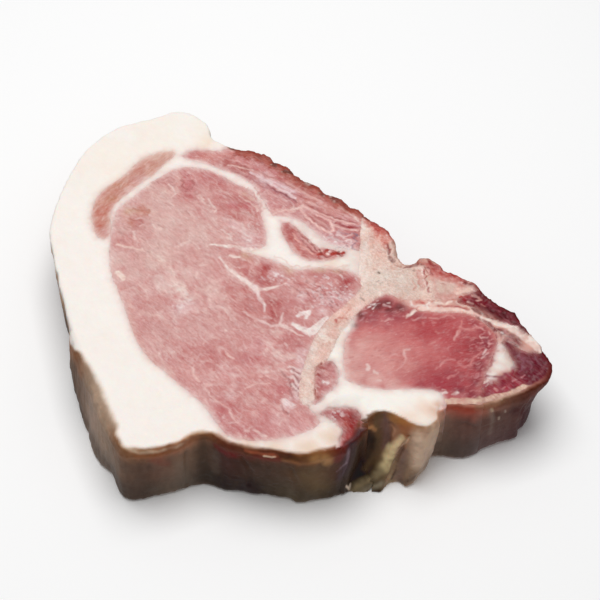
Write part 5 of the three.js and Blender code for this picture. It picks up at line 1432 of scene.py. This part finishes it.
class NodeTree:
    """Short ways to add and join a material's nodes."""

    def __init__(self, material):
        material.use_nodes = True
        self.nodes, self.links = material.node_tree.nodes, material.node_tree.links
        self.shader = self.nodes["Principled BSDF"]
        self.place = self.add("ShaderNodeTexCoord").outputs["Object"]

    def put(self, value, socket):
        """Sets a socket to a plain value, or joins another node's output to it."""
        if isinstance(value, bpy.types.NodeSocket):
            self.links.new(value, socket)
        else:
            socket.default_value = value

    def add(self, kind, values=None, **settings):
        made = self.nodes.new(kind)
        for key, value in settings.items():
            setattr(made, key, value)
        for key, value in (values or {}).items():
            self.put(value, made.inputs[key])
        return made

    def math(self, operation, *inputs):
        made = self.add("ShaderNodeMath", operation=operation)
        for socket, value in zip(made.inputs, inputs):
            self.put(value, socket)
        return made.outputs[0]

    def noise(self, size, turn, detail, roughness, distortion=0.0):
        """A noise whose features have that size in millimetres, one number for each axis."""
        scale = [part * MM for part in size]
        turned_place = self.add("ShaderNodeMapping", vector_type="TEXTURE", values={
            "Rotation": (0, 0, math.radians(turn)), "Scale": scale, "Vector": self.place,
        })
        made = self.add("ShaderNodeTexNoise", {
            "Vector": turned_place.outputs[0], "Scale": 1.0,
            "Detail": detail, "Roughness": roughness, "Distortion": distortion,
        })
        return made.outputs["Fac"]


def tissue_material(name, angle, fibre, streak, mottle, fleck, roughness, coat, bump, scatter, inside,
                    sheen=0.32):
    """Flesh, fat or bone over the painted tint.

    fibre is the length and width of its streaks. streak, mottle and fleck are how much the fibres, the soft
    blotches and the pale crumbs of fat change the tint. bump is the relief's height, scatter how far red
    light travels inside, and inside the share of light that does. sheen is the strength of its reflections.
    """
    material = bpy.data.materials.new(name)
    tree = NodeTree(material)
    length, width = fibre
    fibres = tree.noise((length, width, width * 6), angle, 4.0, 0.62, 0.4)
    fine = tree.noise((length / 2.4, width / 2.4, width * 3), angle, 3.0, 0.6)
    blotches = tree.noise((4.2, 3.4, 4.2), angle, 4.0, 0.6)
    grain = tree.noise((0.42, 0.42, 0.42), 0, 2.0, 0.5)
    tint = tree.add("ShaderNodeAttribute", attribute_name="tint").outputs["Color"]
    cut = tree.add("ShaderNodeAttribute", attribute_name="cut").outputs["Fac"]
    shown = tree.math("MULTIPLY_ADD", cut, 0.75, 0.25)

    def shift(value, amount):
        """1, more or less by a noise. On the chop's side it varies less."""
        return tree.math("MULTIPLY_ADD", tree.math("MULTIPLY_ADD", value, 2 * amount, -amount), shown, 1.0)

    value = tree.math("MULTIPLY", shift(fibres, streak), shift(blotches, mottle))
    varied = tree.add("ShaderNodeHueSaturation", {
        "Color": tint,
        "Value": tree.math("MULTIPLY", value, shift(fine, streak * 0.6)),
        "Saturation": shift(tree.math("SUBTRACT", 1.0, fibres), streak * 1.4),
    })
    fatty = tree.math("ADD", tree.math("MULTIPLY", fibres, 0.55), tree.math("MULTIPLY", fine, 0.5))
    crumbs = tree.add("ShaderNodeMapRange", interpolation_type="SMOOTHSTEP", values={
        "Value": fatty, "From Min": CRUMB_START, "From Max": CRUMB_FULL, "To Max": fleck,
    })
    pale = tree.add("ShaderNodeMix", data_type="RGBA", values={
        "Factor": tree.math("MULTIPLY", crumbs.outputs[0], cut),
        "A": varied.outputs[0], "B": (*srgb("F0DBD4"), 1),
    })

    rough = tree.math("MULTIPLY_ADD", grain, ROUGH_GRAIN, roughness - ROUGH_GRAIN / 2)
    uneven = tree.math("MULTIPLY_ADD", blotches, ROUGH_BLOTCH, -ROUGH_BLOTCH / 2)
    height = tree.math("ADD", tree.math("MULTIPLY", fibres, 0.6), tree.math("MULTIPLY", grain, 0.25))
    height = tree.math("ADD", height, tree.math("MULTIPLY", fine, 0.3))
    relief = tree.add("ShaderNodeBump", {"Height": height, "Distance": bump * MM, "Strength": 1.0})
    for socket, value in {
        "Base Color": pale.outputs["Result"],
        "Roughness": tree.math("ADD", rough, uneven),
        "Normal": relief.outputs[0],
        "Coat Weight": coat,
        "Coat Roughness": COAT_ROUGHNESS,
        "Specular IOR Level": sheen,
        "Subsurface Weight": inside,
        "Subsurface Radius": COLOUR_REACHES,
        "Subsurface Scale": scatter * MM,
    }.items():
        tree.put(value, tree.shader.inputs[socket])
    return material


FINISH = {
    "muscle": dict(fibre=(1.7, 0.5), streak=0.24, mottle=0.1, fleck=0.2, roughness=0.44, coat=0.05,
                   bump=0.2, scatter=0.35, inside=0.14),
    "fat": dict(fibre=(2.4, 1.6), streak=0.025, mottle=0.025, fleck=0.0, roughness=0.5, coat=0.05,
                bump=0.1, scatter=0.7, inside=0.3),
    "bone": dict(fibre=(0.8, 0.6), streak=0.3, mottle=0.2, fleck=0.3, roughness=0.55, coat=0.05,
                 bump=0.2, scatter=0.3, inside=0.2),
    "cartilage": dict(fibre=(1.4, 1.0), streak=0.2, mottle=0.15, fleck=0.2, roughness=0.4, coat=0.08,
                      bump=0.1, scatter=0.4, inside=0.2),
}
OWN_FINISH = {
    "tenderloin": dict(streak=0.1, fleck=0.1),
    "side_muscle": dict(sheen=0.08, coat=0.0, fleck=0.0),
    "tip_muscle": dict(sheen=0.08, coat=0.0, fleck=0.04),
}


# ---------------------------------------------------------------- building the pieces
def write_attribute(mesh, name, form, field, values):
    made = mesh.attributes.new(name, form, "POINT")
    made.data.foreach_set(field, np.asarray(values, np.float32).ravel())


def fine_skin(name, node):
    """The tissue's shape as a fine mesh, with its gap shut."""
    mesh = even_mesh(node)
    evened(mesh)
    refine_face(name, mesh)
    mesh.name = name + "_mesh"
    skin = Skin(name, mesh)
    skin.shut_gap()
    return skin


def dress(skin):
    """The tissue's visible piece, in place of its solid."""
    name, mesh = skin.name, skin.mesh
    skin.level_borders()
    colour, cut = paint(skin)
    give_relief(skin)
    move_points(mesh, skin.points)
    write_attribute(mesh, "tint", "FLOAT_COLOR", "color", np.column_stack([colour, np.ones(len(colour))]))
    write_attribute(mesh, "cut", "FLOAT", "value", cut)
    mesh.polygons.foreach_set("use_smooth", np.ones(len(mesh.polygons), bool))
    mesh.materials.clear()
    finish = FINISH[kind(name)] | OWN_FINISH.get(name, {})
    mesh.materials.append(tissue_material(name, fibre_angle(name), **finish))
    piece = bpy.data.objects.new(name + "_flesh", mesh)
    bpy.context.collection.objects.link(piece)
    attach(piece, "root")
    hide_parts(name)


skins = [fine_skin(name, node) for name, node in NODES.items()]
FACE_HEIGHT = face_height(skins)
for skin in skins:
    dress(skin)


# ---------------------------------------------------------------- table, light and camera
TABLE_SIZE = 6.0  # metres
CAMERA_TARGET = (2.5, -0.2, 8.0)
CAMERA_DISTANCE = 470.0
CAMERA_ELEVATION = 50.0
CAMERA_LENS, CAMERA_SENSOR = 90.0, 36.0


def plain_material(name, code, roughness):
    material = bpy.data.materials.new(name)
    material.use_nodes = True
    shader = material.node_tree.nodes["Principled BSDF"]
    shader.inputs["Base Color"].default_value = (*srgb(code), 1)
    shader.inputs["Roughness"].default_value = roughness
    return material


def add_table():
    bpy.ops.mesh.primitive_plane_add(size=TABLE_SIZE, location=(0, 0, 0))
    table = bpy.context.object
    table.name = "table"
    table.data.materials.append(plain_material("table", "FFFFFF", 0.6))
    table.visible_diffuse = False
    table.visible_glossy = False


def add_softbox(name, place, target, size, power):
    """A square studio light at place, in metres, turned to target."""
    lamp = bpy.data.lights.new(name, "AREA")
    lamp.size = size
    lamp.energy = power
    softbox = bpy.data.objects.new(name, lamp)
    bpy.context.collection.objects.link(softbox)
    softbox.location = place
    softbox.rotation_euler = (Vector(target) - Vector(place)).to_track_quat("-Z", "Y").to_euler()


def add_world(strength):
    world = bpy.data.worlds.new("studio")
    bpy.context.scene.world = world
    world.use_nodes = True
    background = world.node_tree.nodes["Background"]
    background.inputs["Color"].default_value = (1, 1, 1, 1)
    background.inputs["Strength"].default_value = strength


def add_camera():
    data = bpy.data.cameras.new("camera")
    data.lens = CAMERA_LENS
    data.sensor_width = CAMERA_SENSOR
    camera = bpy.data.objects.new("camera", data)
    bpy.context.collection.objects.link(camera)
    tilt = math.radians(CAMERA_ELEVATION)
    back = Vector((0, -math.cos(tilt), math.sin(tilt)))
    camera.location = (Vector(CAMERA_TARGET) + back * CAMERA_DISTANCE) * MM
    camera.rotation_euler = (-back).to_track_quat("-Z", "Y").to_euler()
    bpy.context.scene.camera = camera


add_table()
add_softbox("overhead", place=(-0.05, 0.12, 0.75), target=(0, 0, 0), size=0.6, power=4.4)
add_world(strength=0.34)
add_camera()
bpy.context.scene.view_settings.view_transform = "Standard"
